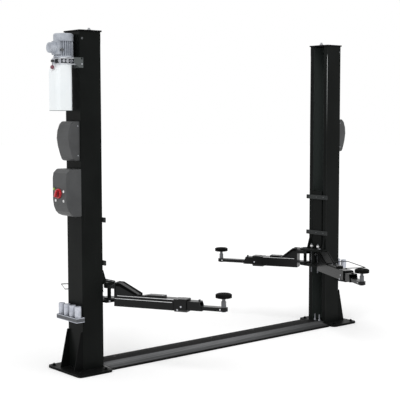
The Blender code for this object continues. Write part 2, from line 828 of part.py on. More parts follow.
def collar(tube_end, half, rise):
    """A ring round the open end of the outer tube, with a stop plate on top."""
    start = tube_end - COLLAR_OVERLAP
    span = (start, start + COLLAR_LENGTH)
    out = half + COLLAR_SIDE
    top = rise + COLLAR_TOP
    low = -rise - COLLAR_THICKNESS
    corner = COLLAR_CORNER
    ring = [
        (-out, top),
        (-out, low + corner),
        (-out + corner, low),
        (out - corner, low),
        (out, low + corner),
        (out, top),
    ]
    side = half - ARM_WALL / 2
    level = rise - ARM_WALL / 2
    bore = [(-side, -level), (side, -level), (side, level), (-side, level)]
    stop = block(
        (span[1] - COLLAR_STOP_LENGTH, span[1]),
        (-side, side),
        (level, top + COLLAR_STOP_HEIGHT),
    )
    return [plate([ring, bore], span, "YZ"), stop]


def foot_guard(sign, end):
    return wire(
        [
            (BOW_NEAR, sign * BOW_FOOT, BOW_RISE),
            (BOW_NEAR, sign * BOW_REACH, BOW_RISE),
            (end, sign * BOW_REACH, BOW_RISE),
            (end, sign * BOW_FOOT, BOW_RISE),
        ],
        BOW_RADIUS,
    )


def arm_middle(sizes, half, floor, roof):
    """The second stage, a tube open at both ends with a slanted front and a stop on top."""
    end = sizes["middle_end"]
    start = end - sizes["middle_length"]
    side = [(start, floor), (end, floor), (end - STAGE_SLOPE, roof), (start, roof)]
    tube = plate([side], (-half, half), "XZ")
    inside = half - ARM_WALL
    bore = block(
        (start - ARM_WALL, end + ARM_WALL),
        (-inside, inside),
        (floor + ARM_WALL, roof - ARM_WALL),
    )
    stub_end = end - STAGE_SLOPE - STUB_INSET
    stub = block(
        (stub_end - STUB_LENGTH, stub_end),
        (-STUB_WIDTH / 2, STUB_WIDTH / 2),
        (roof - ARM_WALL / 2, roof + STUB_HEIGHT),
    )
    return join(cut(tube, bore), stub)


def arm_inner(sizes, half, floor):
    """The last stage, a tube with a solid round end that is bored for the pad's screw."""
    boss = sizes["boss"]
    start = boss + half - sizes["inner_length"]
    outline = arc((boss, 0), half, -90, 90, 12) + [(start, half), (start, -half)]
    hole = circle((boss, 0), hole_radius(SCREW_RADIUS, SCREW_CLEARANCE, ROUND))
    bar = plate([outline, hole], (floor, floor + INNER_HEIGHT))
    inside = half - ARM_WALL
    bore = block(
        (start - ARM_WALL, boss - BOSS_SOLID),
        (-inside, inside),
        (floor + ARM_WALL, floor + INNER_HEIGHT - ARM_WALL),
    )
    return cut(bar, bore)


def build_pad(name, arm, boss, floor):
    top = floor + INNER_HEIGHT
    stem = rod((boss, 0), SCREW_RADIUS, (floor - SCREW_DROP, top + SCREW_RISE))
    seat = top + SCREW_RISE + INNER_SCREW_RISE
    inner = rod((boss, 0), INNER_SCREW_RADIUS, (top, seat), sides=SMALL_ROUND)
    place(join(stem, inner), f"{name}_pad_screw", arm, "zinc")
    low = seat + SEAT_GAP
    high = low + PAD_THICKNESS
    pad = turned(
        [
            (0, high),
            (PAD_RADIUS - PAD_ROUNDING, high),
            (PAD_RADIUS, high - PAD_ROUNDING),
            (PAD_RADIUS, low + PAD_ROUNDING),
            (PAD_RADIUS - PAD_ROUNDING, low),
            (0, low),
        ],
        (boss, 0),
    )
    place(pad, f"{name}_lift_pad", arm, "rubber")


def build_floor_cover():
    half = COLUMN_SPACING / 2 - MOUTH - SEAT_GAP
    path = [
        (COVER_HALF_WIDTH, 0),
        (COVER_HALF_WIDTH, COVER_EDGE_HEIGHT),
        (COVER_FLAT_HALF_WIDTH, COVER_HEIGHT),
        (-COVER_FLAT_HALF_WIDTH, COVER_HEIGHT),
        (-COVER_HALF_WIDTH, COVER_EDGE_HEIGHT),
        (-COVER_HALF_WIDTH, 0),
    ]
    sheet = folded_sheet(path, (-half, half), COVER_SHEET)
    sheet.data.transform(PLANES["YZ"])
    corners = [
        block(x, y, (-COVER_HEIGHT, 2 * COVER_HEIGHT))
        for x in (
            (half - COVER_RAMP_SETBACK, half + COVER_SHEET),
            (-half - COVER_SHEET, COVER_RAMP_SETBACK - half),
        )
        for y in (
            (COVER_TONGUE_HALF_WIDTH, 2 * COVER_HALF_WIDTH),
            (-2 * COVER_HALF_WIDTH, -COVER_TONGUE_HALF_WIDTH),
        )
    ]
    sheet = cut(sheet, *corners)
    bearers = [
        block(
            (middle - COVER_BEARER_WIDTH / 2, middle + COVER_BEARER_WIDTH / 2),
            (COVER_SHEET - COVER_FLAT_HALF_WIDTH, COVER_FLAT_HALF_WIDTH - COVER_SHEET),
            (0, COVER_HEIGHT - COVER_SHEET / 2),
        )
        for middle in (-COVER_BEARER_SPACING, 0, COVER_BEARER_SPACING)
    ]
    place(join(sheet, *bearers), "floor_cover", None, "black_paint")


def build_power_unit(post):
    """The bracket round the column's corners, the valve block on it, the tank below and the motor above."""
    side = FLANK + SEAT_GAP
    back = WEB - SEAT_GAP - BRACKET_THICKNESS
    top = VALVE_BASE + VALVE_HEIGHT
    bracket = block(
        (back, WEB - SEAT_GAP),
        (-side - BRACKET_THICKNESS / 2, side + BRACKET_THICKNESS / 2),
        (top - BRACKET_HEIGHT, top),
    )
    outline = [
        (WEB + BRACKET_LAP, top - BRACKET_HEIGHT),
        (WEB + BRACKET_LAP, top),
        (WEB - BRACKET_REACH, top),
        (WEB - BRACKET_REACH, top - BRACKET_END_HEIGHT),
        (back, top - BRACKET_HEIGHT),
    ]
    wings = [
        plate([outline], span, "XZ")
        for span in ((side, side + BRACKET_THICKNESS), (-side - BRACKET_THICKNESS, -side))
    ]
    place(join(bracket, *wings), "power_unit_bracket", post, "grey_plastic")
    half = TANK_WIDTH / 2
    depth = (WEB - VALVE_DEPTH, back - SEAT_GAP)
    valve = block(depth, (-half, half), (VALVE_BASE, top), BRACKET_THICKNESS / 2)
    shaft_end = depth[0] - LEVER_STANDOFF - LEVER_HUB_LENGTH
    shaft = rod((0, VALVE_BASE + VALVE_HEIGHT / 2), LEVER_RADIUS, (shaft_end, POWER_X), "X")
    place(join(valve, shaft), "valve_block", post, "light_metal")
    build_lever(post, depth[0])
    build_tank(post, depth[0] + TANK_SLANT_INSET)
    build_motor(post)


def build_tank(post, edge):
    """The oil tank, with round corners and a slanted shoulder under the lowering lever."""
    half = TANK_WIDTH / 2
    middle = POWER_X - TANK_OFFSET
    top = TANK_BASE + TANK_HEIGHT
    outline = rounded_box((middle - half, middle + half), (-half, half), TANK_CORNER)
    tank = rounded(plate([outline], (TANK_BASE, top)), TANK_SHOULDER, 3)
    slant = [
        (edge - 2 * TANK_SLANT_WIDTH, top - 2 * TANK_SLANT_HEIGHT),
        (edge + TANK_SLANT_WIDTH, top + TANK_SLANT_HEIGHT),
        (edge - 2 * TANK_SLANT_WIDTH, top + TANK_SLANT_HEIGHT),
    ]
    place(cut(tank, plate([slant], (-TANK_WIDTH, TANK_WIDTH), "XZ")), "oil_tank", post, "white_plastic")


def build_lever(post, face):
    """The lowering lever, turning on a shaft at the valve block's outer face."""
    level = VALVE_BASE + VALVE_HEIGHT / 2
    span = (face - LEVER_STANDOFF - LEVER_HUB_LENGTH, face - LEVER_STANDOFF)
    hub = rod((0, level), LEVER_HUB_RADIUS, span, "X")
    middle = (span[0] + span[1]) / 2
    stem_top = level - (LEVER_HUB_RADIUS + LEVER_RADIUS) / 2
    stem = rod((middle, 0), LEVER_RADIUS / 2, (level - LEVER_DROP, stem_top), sides=SMALL_ROUND)
    knob = ball((middle, 0, level - LEVER_DROP), LEVER_KNOB_RADIUS)
    reach = hole_radius(LEVER_RADIUS, PIN_CLEARANCE, ROUND)
    bore = rod((0, level), reach, (span[0] - LEVER_HUB_LENGTH, span[1] + LEVER_HUB_LENGTH), "X")
    place(cut(join(hub, stem, knob), bore), "lowering_lever", post, "maroon_plastic")


def build_motor(post):
    root = MOTOR_RADIUS - MOTOR_FIN
    step = 360 / MOTOR_FINS
    ribs = []
    for i in range(MOTOR_FINS):
        for part, radius in ((0.0, MOTOR_RADIUS), (0.3, MOTOR_RADIUS), (0.4, root), (0.9, root)):
            a = math.radians((i + part) * step)
            ribs.append((POWER_X + radius * math.cos(a), radius * math.sin(a)))
    fan_base = MOTOR_BASE + MOTOR_HEIGHT - FAN_COVER_HEIGHT
    motor = plate([ribs], (MOTOR_BASE + MOTOR_FLANGE_HEIGHT / 2, fan_base + MOTOR_FLANGE_HEIGHT / 2))
    flange_radius = MOTOR_RADIUS + MOTOR_FIN / 2
    flange = rod((POWER_X, 0), flange_radius, (MOTOR_BASE, MOTOR_BASE + MOTOR_FLANGE_HEIGHT))
    top = MOTOR_BASE + MOTOR_HEIGHT
    cover = turned(
        [
            (0, top),
            (MOTOR_RADIUS * 0.62, top),
            (MOTOR_RADIUS * 0.88, top - FAN_COVER_HEIGHT * 0.18),
            (MOTOR_RADIUS + BRACKET_THICKNESS / 2, top - FAN_COVER_HEIGHT * 0.45),
            (MOTOR_RADIUS + BRACKET_THICKNESS / 2, fan_base),
            (0, fan_base),
        ],
        (POWER_X, 0),
    )
    level = MOTOR_BASE + DRUM_RISE
    outer = POWER_X - MOTOR_RADIUS
    box = block(
        (outer - TERMINAL_REACH, outer + TERMINAL_DEPTH),
        (-TERMINAL_WIDTH / 2, TERMINAL_WIDTH / 2),
        (level - TERMINAL_HEIGHT / 2, level + TERMINAL_HEIGHT / 2),
        BRACKET_THICKNESS,
    )
    drum = rod((0, level), DRUM_RADIUS, (outer - TERMINAL_REACH - DRUM_REACH, outer), "X")
    drum = rounded(drum, BRACKET_THICKNESS)
    place(join(motor, flange, cover, box, drum), "pump_motor", post, "light_metal")


def moulded_cover(profile, half_width, rounding):
    """A thin cover made from an XZ outline, hollow and open towards the column."""
    seat = WEB - SEAT_GAP
    behind = seat + 2 * rounding
    outline = [(behind, profile[0][1])] + [(seat - reach, z) for reach, z in profile]
    outline += [(behind, profile[-1][1])]
    cover = rounded(plate([outline], (-half_width, half_width), "XZ"), rounding)
    trim = block(
        (seat, behind + rounding),
        (-2 * half_width, 2 * half_width),
        (profile[0][1] - rounding, profile[-1][1] + rounding),
    )
    middle = (profile[0][1] + profile[-1][1]) / 2
    shrink = 1 - 2 * COVER_WALL / (profile[-1][1] - profile[0][1])
    open_side = behind + 2 * rounding
    hollow = [(open_side, middle + (profile[0][1] - middle) * shrink)]
    hollow += [
        (seat - reach + COVER_WALL * 1.5, middle + (z - middle) * shrink) for reach, z in profile
    ]
    hollow += [(open_side, middle + (profile[-1][1] - middle) * shrink)]
    inside = half_width - COVER_WALL
    return cut(cover, plate([hollow], (-inside, inside), "XZ"), trim)


def build_lock_cover(side, post):
    base, high, reach = LOCK_COVER_BASE, LOCK_COVER_HEIGHT, LOCK_COVER_REACH
    profile = [
        (reach * 0.45, base),
        (reach * 0.58, base + high * 0.06),
        (reach * 0.70, base + high * 0.16),
        (reach * 0.90, base + high * 0.375),
        (reach, base + high * 0.59),
        (reach * 0.94, base + high * 0.77),
        (reach * 0.78, base + high * 0.91),
        (reach * 0.52, base + high),
    ]
    cover = moulded_cover(profile, LOCK_COVER_HALF_WIDTH, COVER_ROUNDING)
    place(cover, f"{side}_lock_cover", post, "grey_plastic")


def build_control_box(post):
    base, high, reach = CONTROL_BASE, CONTROL_HEIGHT, CONTROL_REACH
    profile = [
        (reach * 0.35, base),
        (reach * 0.62, base + high * 0.04),
        (reach * 0.82, base + high * 0.115),
        (reach * 0.94, base + high * 0.22),
        (reach, base + high * 0.36),
        (reach, base + high * 0.82),
        (reach * 0.95, base + high * 0.92),
        (reach * 0.70, base + high),
    ]
    box = moulded_cover(profile, CONTROL_HALF_WIDTH, COVER_ROUNDING)
    face = WEB - SEAT_GAP - reach
    through = (face - COVER_ROUNDING, face + COVER_ROUNDING)
    switch = (SWITCH_SIDE, base + SWITCH_RISE)
    button = (BUTTON_SIDE, base + BUTTON_RISE)
    shaft_hole = hole_radius(SWITCH_SHAFT_RADIUS, PIN_CLEARANCE, ROUND)
    button_hole = hole_radius(BUTTON_RADIUS, PIN_CLEARANCE, ROUND)
    box = cut(box, rod(switch, shaft_hole, through, "X"), rod(button, button_hole, through, "X"))
    place(box, "control_box", post, "grey_plastic")
    seat = face - RUNNING_GAP
    knob = rounded(rod(switch, SWITCH_RADIUS, (seat - SWITCH_REACH / 2, seat), "X"), PIN_CLEARANCE * 4)
    key = block(
        (seat - SWITCH_REACH, seat - SWITCH_REACH / 4),
        (SWITCH_SIDE - SWITCH_KEY / 2, SWITCH_SIDE + SWITCH_KEY / 2),
        (switch[1] - SWITCH_RADIUS * 0.85, switch[1] + SWITCH_RADIUS * 0.85),
    )
    shaft = rod(switch, SWITCH_SHAFT_RADIUS, (seat - SWITCH_REACH / 4, face + COVER_ROUNDING), "X")
    place(join(knob, key, shaft), "main_switch", post, "red_plastic")
    cap = rod(button, BUTTON_RADIUS, (face - BUTTON_REACH, face + COVER_ROUNDING), "X")
    place(rounded(cap, PIN_CLEARANCE * 3), "raise_button", post, "green_plastic")


def build_rack(side, post, adapter):
    """A shallow tray with a row of height adapters standing in it."""
    outer = WEB - RACK_REACH
    inner = WEB - SEAT_GAP
    tray = block((outer, inner), (RACK_START, RACK_END), (RACK_BASE, RACK_BASE + RACK_HEIGHT))
    hollow = block(
        (outer + RACK_SHEET, inner - RACK_SHEET),
        (RACK_START + RACK_SHEET, RACK_END - RACK_SHEET),
        (RACK_BASE + RACK_SHEET, RACK_BASE + 2 * RACK_HEIGHT),
    )
    tray = cut(tray, hollow)
    adapters = []
    bores = []
    for i in range(ADAPTER_COUNT):
        at = (WEB - ADAPTER_REACH, ADAPTER_FIRST + i * ADAPTER_PITCH)
        top = RACK_BASE + RACK_SHEET + adapter
        adapters.append(rod(at, ADAPTER_RADIUS, (RACK_BASE + RACK_SHEET / 2, top)))
        bores.append(rod(at, ADAPTER_BORE, (top - ADAPTER_BORE_DEPTH, top + RACK_HEIGHT), sides=SMALL_ROUND))
    place(cut(join(tray, *adapters), *bores), f"{side}_adapter_rack", post, "light_metal")


LONG_ARM = {
    "tube_end": LONG_TUBE_END,
    "lock_plate": LONG_LOCK_PLATE,
    "wedge_end": LONG_WEDGE_END,
    "middle_end": LONG_TUBE_END + LONG_MIDDLE_REACH,
    "middle_length": LONG_MIDDLE_LENGTH,
    "boss": LONG_TUBE_END + LONG_MIDDLE_REACH + LONG_BOSS_REACH,
    "inner_length": LONG_INNER_LENGTH,
    "bow_end": LONG_BOW_END,
}
SHORT_ARM = {
    "tube_end": SHORT_TUBE_END,
    "lock_plate": SHORT_LOCK_PLATE,
    "wedge_end": SHORT_WEDGE_END,
    "middle_end": SHORT_TUBE_END + SHORT_MIDDLE_REACH,
    "middle_length": SHORT_MIDDLE_LENGTH,
    "boss": SHORT_TUBE_END + SHORT_MIDDLE_REACH + SHORT_BOSS_REACH,
    "inner_length": SHORT_INNER_LENGTH,
    "bow_end": SHORT_BOW_END,
}

LEFT = frame("left_post", None, (-COLUMN_SPACING / 2, 0, 0))
RIGHT = frame("right_post", None, (COLUMN_SPACING / 2, 0, 0), math.pi)

build_floor_cover()
build_post("left", LEFT)
build_post("right", RIGHT)
build_power_unit(LEFT)
build_control_box(LEFT)
build_lock_cover("left", LEFT)
build_lock_cover("right", RIGHT)
build_rack("left", LEFT, SHORT_ADAPTER)
build_rack("right", RIGHT, TALL_ADAPTER)

LEFT_CARRIAGE = build_carriage("left", LEFT, LEFT_ARM_HEIGHT)
RIGHT_CARRIAGE = build_carriage("right", RIGHT, RIGHT_ARM_HEIGHT)
build_arm("left_front", LEFT_CARRIAGE, -1, LEFT_FRONT_REST, LONG_ARM, False)
build_arm("left_rear", LEFT_CARRIAGE, 1, LEFT_REAR_REST, SHORT_ARM, True)
build_arm("right_front", RIGHT_CARRIAGE, 1, RIGHT_FRONT_REST, LONG_ARM, True)
build_arm("right_rear", RIGHT_CARRIAGE, -1, RIGHT_REAR_REST, SHORT_ARM, False)
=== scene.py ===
"""Two post car lift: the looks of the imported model."""

import math
import random

import bmesh
import bpy
from mathutils import Matrix, Vector


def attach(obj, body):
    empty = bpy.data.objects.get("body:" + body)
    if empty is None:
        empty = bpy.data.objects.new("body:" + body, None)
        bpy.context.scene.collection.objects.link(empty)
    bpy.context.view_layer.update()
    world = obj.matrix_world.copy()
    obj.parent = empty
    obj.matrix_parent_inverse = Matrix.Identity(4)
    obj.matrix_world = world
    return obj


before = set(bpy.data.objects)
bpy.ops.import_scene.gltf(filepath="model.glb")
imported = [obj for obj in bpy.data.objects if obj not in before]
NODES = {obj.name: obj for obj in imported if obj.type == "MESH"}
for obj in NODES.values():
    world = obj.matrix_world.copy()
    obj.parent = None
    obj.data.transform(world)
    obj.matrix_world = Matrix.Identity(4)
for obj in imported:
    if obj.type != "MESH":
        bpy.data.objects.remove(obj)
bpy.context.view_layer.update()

# ---------------------------------------------------------------- camera and studio
# The camera stands in front of the lift and to its left, a little above the arms' height.
# A plain pale floor and a white surround give soft light from above and a faint shadow.
CAMERA_AT = Vector((-6.1631, -7.0636, 2.1463))
CAMERA_YAW, CAMERA_PITCH, CAMERA_ROLL = 0.7011, -0.0851, -0.0017
FOCAL_PIXELS, FRAME_PIXELS, SENSOR_WIDTH = 1013.56, 400, 36.0

forward = Vector((
    math.sin(CAMERA_YAW) * math.cos(CAMERA_PITCH),
    math.cos(CAMERA_YAW) * math.cos(CAMERA_PITCH),
    math.sin(CAMERA_PITCH),
))
level_right = Vector((math.cos(CAMERA_YAW), -math.sin(CAMERA_YAW), 0))
level_up = level_right.cross(forward)
roll_cos, roll_sin = math.cos(CAMERA_ROLL), math.sin(CAMERA_ROLL)
right = roll_cos * level_right + roll_sin * level_up
up = roll_cos * level_up - roll_sin * level_right
camera = bpy.data.objects.new("camera", bpy.data.cameras.new("camera"))
camera.data.sensor_width = SENSOR_WIDTH
camera.data.lens = FOCAL_PIXELS / FRAME_PIXELS * SENSOR_WIDTH
camera.data.clip_end = 200
camera.matrix_world = Matrix((
    (right.x, up.x, -forward.x, CAMERA_AT.x),
    (right.y, up.y, -forward.y, CAMERA_AT.y),
    (right.z, up.z, -forward.z, CAMERA_AT.z),
    (0, 0, 0, 1),
))
bpy.context.scene.collection.objects.link(camera)
bpy.context.scene.camera = camera
bpy.context.scene.view_settings.view_transform = "Standard"


def connect(value, slot):
    """Puts a number, a colour or another node's socket into a node's input."""
    if isinstance(value, Socket):
        slot.id_data.links.new(value.out, slot)
    elif isinstance(value, tuple) and slot.type == "RGBA":
        slot.default_value = (*value, 1) if len(value) == 3 else value
    else:
        slot.default_value = value


class Socket:
    """A node's output, with the arithmetic of shader maths."""

    def __init__(self, out):
        self.out = out

    def math(self, operation, *values):
        node = self.out.id_data.nodes.new("ShaderNodeMath")
        node.operation = operation
        for value, slot in zip(values, node.inputs):
            connect(value, slot)
        return Socket(node.outputs[0])

    def __add__(self, other):
        return self.math("ADD", self, other)

    def __mul__(self, other):
        return self.math("MULTIPLY", self, other)

    def __sub__(self, other):
        return self.math("SUBTRACT", self, other)

    def __rsub__(self, other):
        return self.math("SUBTRACT", other, self)

    __radd__ = __add__
    __rmul__ = __mul__


class Sheet:
    """A node tree that makes its nodes by type."""

    def __init__(self, tree):
        self.tree = tree

    def make(self, kind, settings=(), inputs=(), out=0):
        node = self.tree.nodes.new(kind)
        for key, value in dict(settings).items():
            setattr(node, key, value)
        for key, value in dict(inputs).items():
            connect(value, node.inputs[key])
        return Socket(node.outputs[out])

    def mix(self, share, first, second):
        """Two colours mixed by a share."""
        return self.make(
            "ShaderNodeMix", {"data_type": "RGBA"}, {0: share, 6: first, 7: second}, 2
        )

    def band(self, value, low, high):
        """0 under low, 1 over high and smooth between."""
        return self.make(
            "ShaderNodeMapRange",
            {"interpolation_type": "SMOOTHSTEP", "clamp": True},
            {"Value": value, "From Min": low, "From Max": high},
        )


def seen(sheet):
    """1 for what the camera, a gloss or clear plastic sees, 0 for light that falls on things."""
    path = sheet.tree.nodes.new("ShaderNodeLightPath")
    camera_ray = Socket(path.outputs["Is Camera Ray"])
    glossy_ray = Socket(path.outputs["Is Glossy Ray"])
    clear_ray = Socket(path.outputs["Is Transmission Ray"])
    sharp = camera_ray.math("MAXIMUM", camera_ray, glossy_ray)
    return sharp.math("MAXIMUM", sharp, clear_ray)


AMBIENT = 0.66
WHITE = (1.0, 1.0, 1.0)
world = bpy.data.worlds.new("studio")
bpy.context.scene.world = world
world.use_nodes = True
surround = Sheet(world.node_tree)
shown = seen(surround)
background = world.node_tree.nodes["Background"]
connect(WHITE, background.inputs["Color"])
connect(shown * (1.0 - AMBIENT) + AMBIENT, background.inputs["Strength"])

# Each lamp's name, its turn in degrees, its strength and its spread in degrees.
LAMPS = (("key", (38, 0, -62), 1.15, 40), ("fill", (52, 0, 25), 0.45, 60))
for lamp_name, turn, strength, spread in LAMPS:
    lamp = bpy.data.objects.new(lamp_name, bpy.data.lights.new(lamp_name, "SUN"))
    lamp.data.energy = strength
    lamp.data.angle = math.radians(spread)
    lamp.visible_glossy = False
    lamp.rotation_euler = [math.radians(a) for a in turn]
    bpy.context.scene.collection.objects.link(lamp)

FLOOR_RADIUS, FLOOR_DROP, FLOOR_GREY, FLOOR_LIFT = 60.0, 0.0015, 0.90, 0.16
floor_bm = bmesh.new()
bmesh.ops.create_circle(floor_bm, cap_ends=True, segments=96, radius=FLOOR_RADIUS)
floor_mesh = bpy.data.meshes.new("studio_floor")
floor_bm.to_mesh(floor_mesh)
floor_bm.free()
studio_floor = bpy.data.objects.new("studio_floor", floor_mesh)
studio_floor.location.z = -FLOOR_DROP
bpy.context.scene.collection.objects.link(studio_floor)
floor_finish = bpy.data.materials.new("studio_floor")
floor_finish.use_nodes = True
floor_sheet = Sheet(floor_finish.node_tree)
floor_shader = floor_finish.node_tree.nodes["Principled BSDF"]
connect((FLOOR_GREY, FLOOR_GREY, FLOOR_GREY), floor_shader.inputs["Base Color"])
connect(0.9, floor_shader.inputs["Roughness"])
connect(0.0, floor_shader.inputs["Specular IOR Level"])
lift_white = floor_sheet.make(
    "ShaderNodeEmission", {}, {"Color": WHITE, "Strength": FLOOR_LIFT}
)
dark = floor_sheet.make("ShaderNodeEmission", {}, {"Color": (0.0, 0.0, 0.0), "Strength": 0.0})
glow = floor_sheet.make("ShaderNodeMixShader", {}, {0: seen(floor_sheet), 1: dark, 2: lift_white})
total = floor_sheet.make("ShaderNodeAddShader", {}, {0: Socket(floor_shader.outputs[0]), 1: glow})
floor_finish.node_tree.links.new(
    total.out, floor_finish.node_tree.nodes["Material Output"].inputs["Surface"]
)
floor_mesh.materials.append(floor_finish)

# ---------------------------------------------------------------- columns, feet and top plates
# Each column is folded from 6 mm sheet, welded to a base plate with two pairs of gussets and closed
# by a top plate. They are powder coated black, with a fine orange peel and some dust on top.
def tone(red, green, blue):
    """A colour as a picture states it, from 0 to 255, turned into light."""
    return tuple(
        v / 255 / 12.92 if v / 255 <= 0.04045 else ((v / 255 + 0.055) / 1.055) ** 2.4
        for v in (red, green, blue)
    )


class Finish(Sheet):
    """A material on the Principled shader, whose constants are set on its own sockets."""

    def __init__(self, name, **constants):
        self.material = bpy.data.materials.new(name)
        self.material.use_nodes = True
        super().__init__(self.material.node_tree)
        self.shader = self.tree.nodes["Principled BSDF"]
        for key, value in constants.items():
            connect(value, self.shader.inputs[key.replace("_", " ").title().replace("Ior", "IOR")])

    def place(self):
        """Where a point lies on its own piece, in metres."""
        return self.make("ShaderNodeTexCoord", out="Object")

    def axes(self):
        """The three numbers of a point on the piece."""
        split = self.tree.nodes.new("ShaderNodeSeparateXYZ")
        connect(self.place(), split.inputs[0])
        return [Socket(out) for out in split.outputs]

    def facing_up(self):
        """1 where the surface faces up and 0 where it stands or faces down."""
        split = self.tree.nodes.new("ShaderNodeSeparateXYZ")
        connect(self.make("ShaderNodeNewGeometry", out="Normal"), split.inputs[0])
        return self.band(Socket(split.outputs[2]), 0.55, 0.95)

    def noise(self, scale, detail=3.0, roughness=0.55, stretch=None):
        """Soft noise over the piece, drawn out along an axis whose stretch is under 1."""
        vector = self.place()
        if stretch:
            vector = self.make("ShaderNodeMapping", {}, {"Vector": vector, "Scale": stretch})
        return self.make(
            "ShaderNodeTexNoise",
            {},
            {"Vector": vector, "Scale": scale, "Detail": detail, "Roughness": roughness},
        )

    def colour(self, value):
        connect(value, self.shader.inputs["Base Color"])

    def rough(self, value):
        connect(value, self.shader.inputs["Roughness"])

    def bump(self, height, distance, strength=1.0):
        """Raises the surface by a value, with the full height in metres."""
        bump = self.make(
            "ShaderNodeBump", {}, {"Height": height, "Distance": distance, "Strength": strength}
        )
        connect(bump, self.shader.inputs["Normal"])


def coated(name, colour, dust, gloss=0.34, peel=0.00006, level=0.10, settles=0.6, recess=None):
    """A powder coat over steel: dust on top, a few fine scuffs, and orange peel."""
    coat = Finish(name, specular_ior_level=level)
    broad = coat.noise(2.6, 4.0)
    fine = coat.noise(46.0, 5.0, 0.62)
    scuff = coat.band(coat.noise(34.0, 3.0, 0.5, (1.0, 1.0, 0.08)), 0.66, 0.74)
    darker = tuple(0.82 * c for c in colour)
    lighter = tuple(1.16 * c + 0.0006 for c in colour)
    base = coat.mix(coat.band(broad, 0.3, 0.7), darker, lighter)
    base = coat.mix(scuff * 0.22, base, tuple(c * 2.2 + 0.004 for c in colour))
    settled = coat.facing_up() * coat.band(fine, 0.35, 0.70)
    base = coat.mix(settled * settles, base, dust)
    coat.colour(recess(coat, base) if recess else base)
    coat.rough(broad * 0.10 + settled * 0.16 + scuff * 0.12 + (gloss - 0.05))
    coat.bump(coat.noise(420.0, 2.0, 0.5) + fine * 0.4, peel, 0.6)
    return coat.material


def wear(node, material):
    """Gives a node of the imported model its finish."""
    mesh = NODES[node].data
    mesh.materials.clear()
    mesh.materials.append(material)


# Where a post's centre, its flanks, the walls and mouth of its hollow, and its top plate's top lie.
POST_X = 1.465
FLANK_Y = 0.115
HOLLOW_WEB, HOLLOW_MOUTH, HOLLOW_Y = 1.5605, 1.3665, 0.1095
PLATE_TOP = 2.826


def hollow_painted_light(coat, base):
    """The inside of a column is painted a lighter grey, as painted light that stands in for the
    light filling its hollow.
    """
    x, y, _ = coat.axes()
    inward = x.math("ABSOLUTE", x)
    inside = coat.band(inward, HOLLOW_MOUTH, HOLLOW_MOUTH + 0.0015)
    inside = inside * (1 - coat.band(inward, HOLLOW_WEB, HOLLOW_WEB + 0.0015))
    inside = inside * (1 - coat.band(y.math("ABSOLUTE", y), HOLLOW_Y, HOLLOW_Y + 0.0015))
    # The lighter grey inside the hollow is painted light.
    return coat.mix(inside, base, tone(74, 80, 78))


def plated_above(coat, base):
    """The nut and the stud on a top plate are zinc plated."""
    _, _, level = coat.axes()
    plating = coat.band(level, PLATE_TOP + 0.0005, PLATE_TOP + 0.0015)
    return coat.mix(plating, base, tone(188, 190, 193))


COAT_BLACK, COAT_DUST = tone(17, 19, 18), tone(40, 40, 39)
BLACK_COAT = coated("black_coat", COAT_BLACK, COAT_DUST, level=0.05)
# The column coat carries the painted light inside the hollow.
COLUMN_COAT = coated("column_coat", COAT_BLACK, COAT_DUST, level=0.05, recess=hollow_painted_light)
TOP_COAT = coated(
    "top_coat", tone(15, 16, 16), tone(26, 26, 26), level=0.03, recess=plated_above
)
for side_name in ("left", "right"):
    wear(f"{side_name}_column", COLUMN_COAT)
    wear(f"{side_name}_foot", TOP_COAT)
    wear(f"{side_name}_top_plate", TOP_COAT)


def at_post(side_name, x, y, z):
    """A place given from a post's own centre, with x towards the car."""
    return Vector((x - POST_X, y, z)) if side_name == "left" else Vector((POST_X - x, -y, z))


def along_post(side_name, x, y, z):
    """A direction given in a post's own axes."""
    return Vector((x, y, z)) if side_name == "left" else Vector((-x, -y, z))


def bar_on(bm, sections):
    """Adds a closed bar to a mesh from its sections, which are rings of points."""
    rings = [[bm.verts.new(point) for point in section] for section in sections]
    for near, far in zip(rings, rings[1:]):
        for i in range(len(near)):
            j = (i + 1) % len(near)
            bm.faces.new((near[i], near[j], far[j], far[i]))
    bm.faces.new(list(reversed(rings[0])))
    bm.faces.new(rings[-1])


def turned_on(bm, profile, at, direction, sides=20, phase=0.0):
    """Adds a closed turned shape. The profile's (radius, height) points go from base to tip."""
    turn = Vector(direction).to_track_quat("Z", "Y").to_matrix().to_4x4()
    matrix = Matrix.Translation(at) @ turn
    angles = [phase + 2 * math.pi * i / sides for i in range(sides)]
    bar_on(bm, [
        [matrix @ Vector((radius * math.cos(a), radius * math.sin(a), height)) for a in angles]
        for radius, height in profile
    ])


STUD_PITCH = 0.0016


def bolt_on(bm, at, direction, across=0.019, tall=0.008, washer=True, stud=0.0):
    """A hexagon head or nut with its chamfer, its washer and the stud's end where there is one."""
    direction = Vector(direction).normalized()
    radius = across / 2 / math.cos(math.pi / 6)
    base = 0.0
    if washer:
        base, rim = 0.0022, across * 0.92
        turned_on(bm, [(rim, 0.0), (rim, 0.0016), (across * 0.86, base)], at, direction, 24)
    seat = Vector(at) + direction * base
    turned_on(
        bm,
        [(radius, 0.0), (radius, tall * 0.82), (radius * 0.86, tall)],
        seat, direction, 6, random.uniform(0, 1),
    )
    if stud:
        core = across * 0.30
        turns = max(2, int(stud / STUD_PITCH))
        profile = []
        for i in range(turns):
            low = tall + stud * i / turns
            profile += [(core, low), (core * 1.12, low + stud * 0.45 / turns)]
        profile.append((core * 0.8, tall + stud))
        turned_on(bm, profile, seat, direction, 16)


def screw_on(bm, at, direction, radius=0.006, tall=0.003):
    """A pan head screw with a sunk socket."""
    turned_on(
        bm,
        [
            (radius, 0.0), (radius * 0.98, tall * 0.45), (radius * 0.80, tall * 0.86),
            (radius * 0.52, tall), (radius * 0.46, tall), (radius * 0.40, tall * 0.35),
        ],
        at, direction, 20,
    )


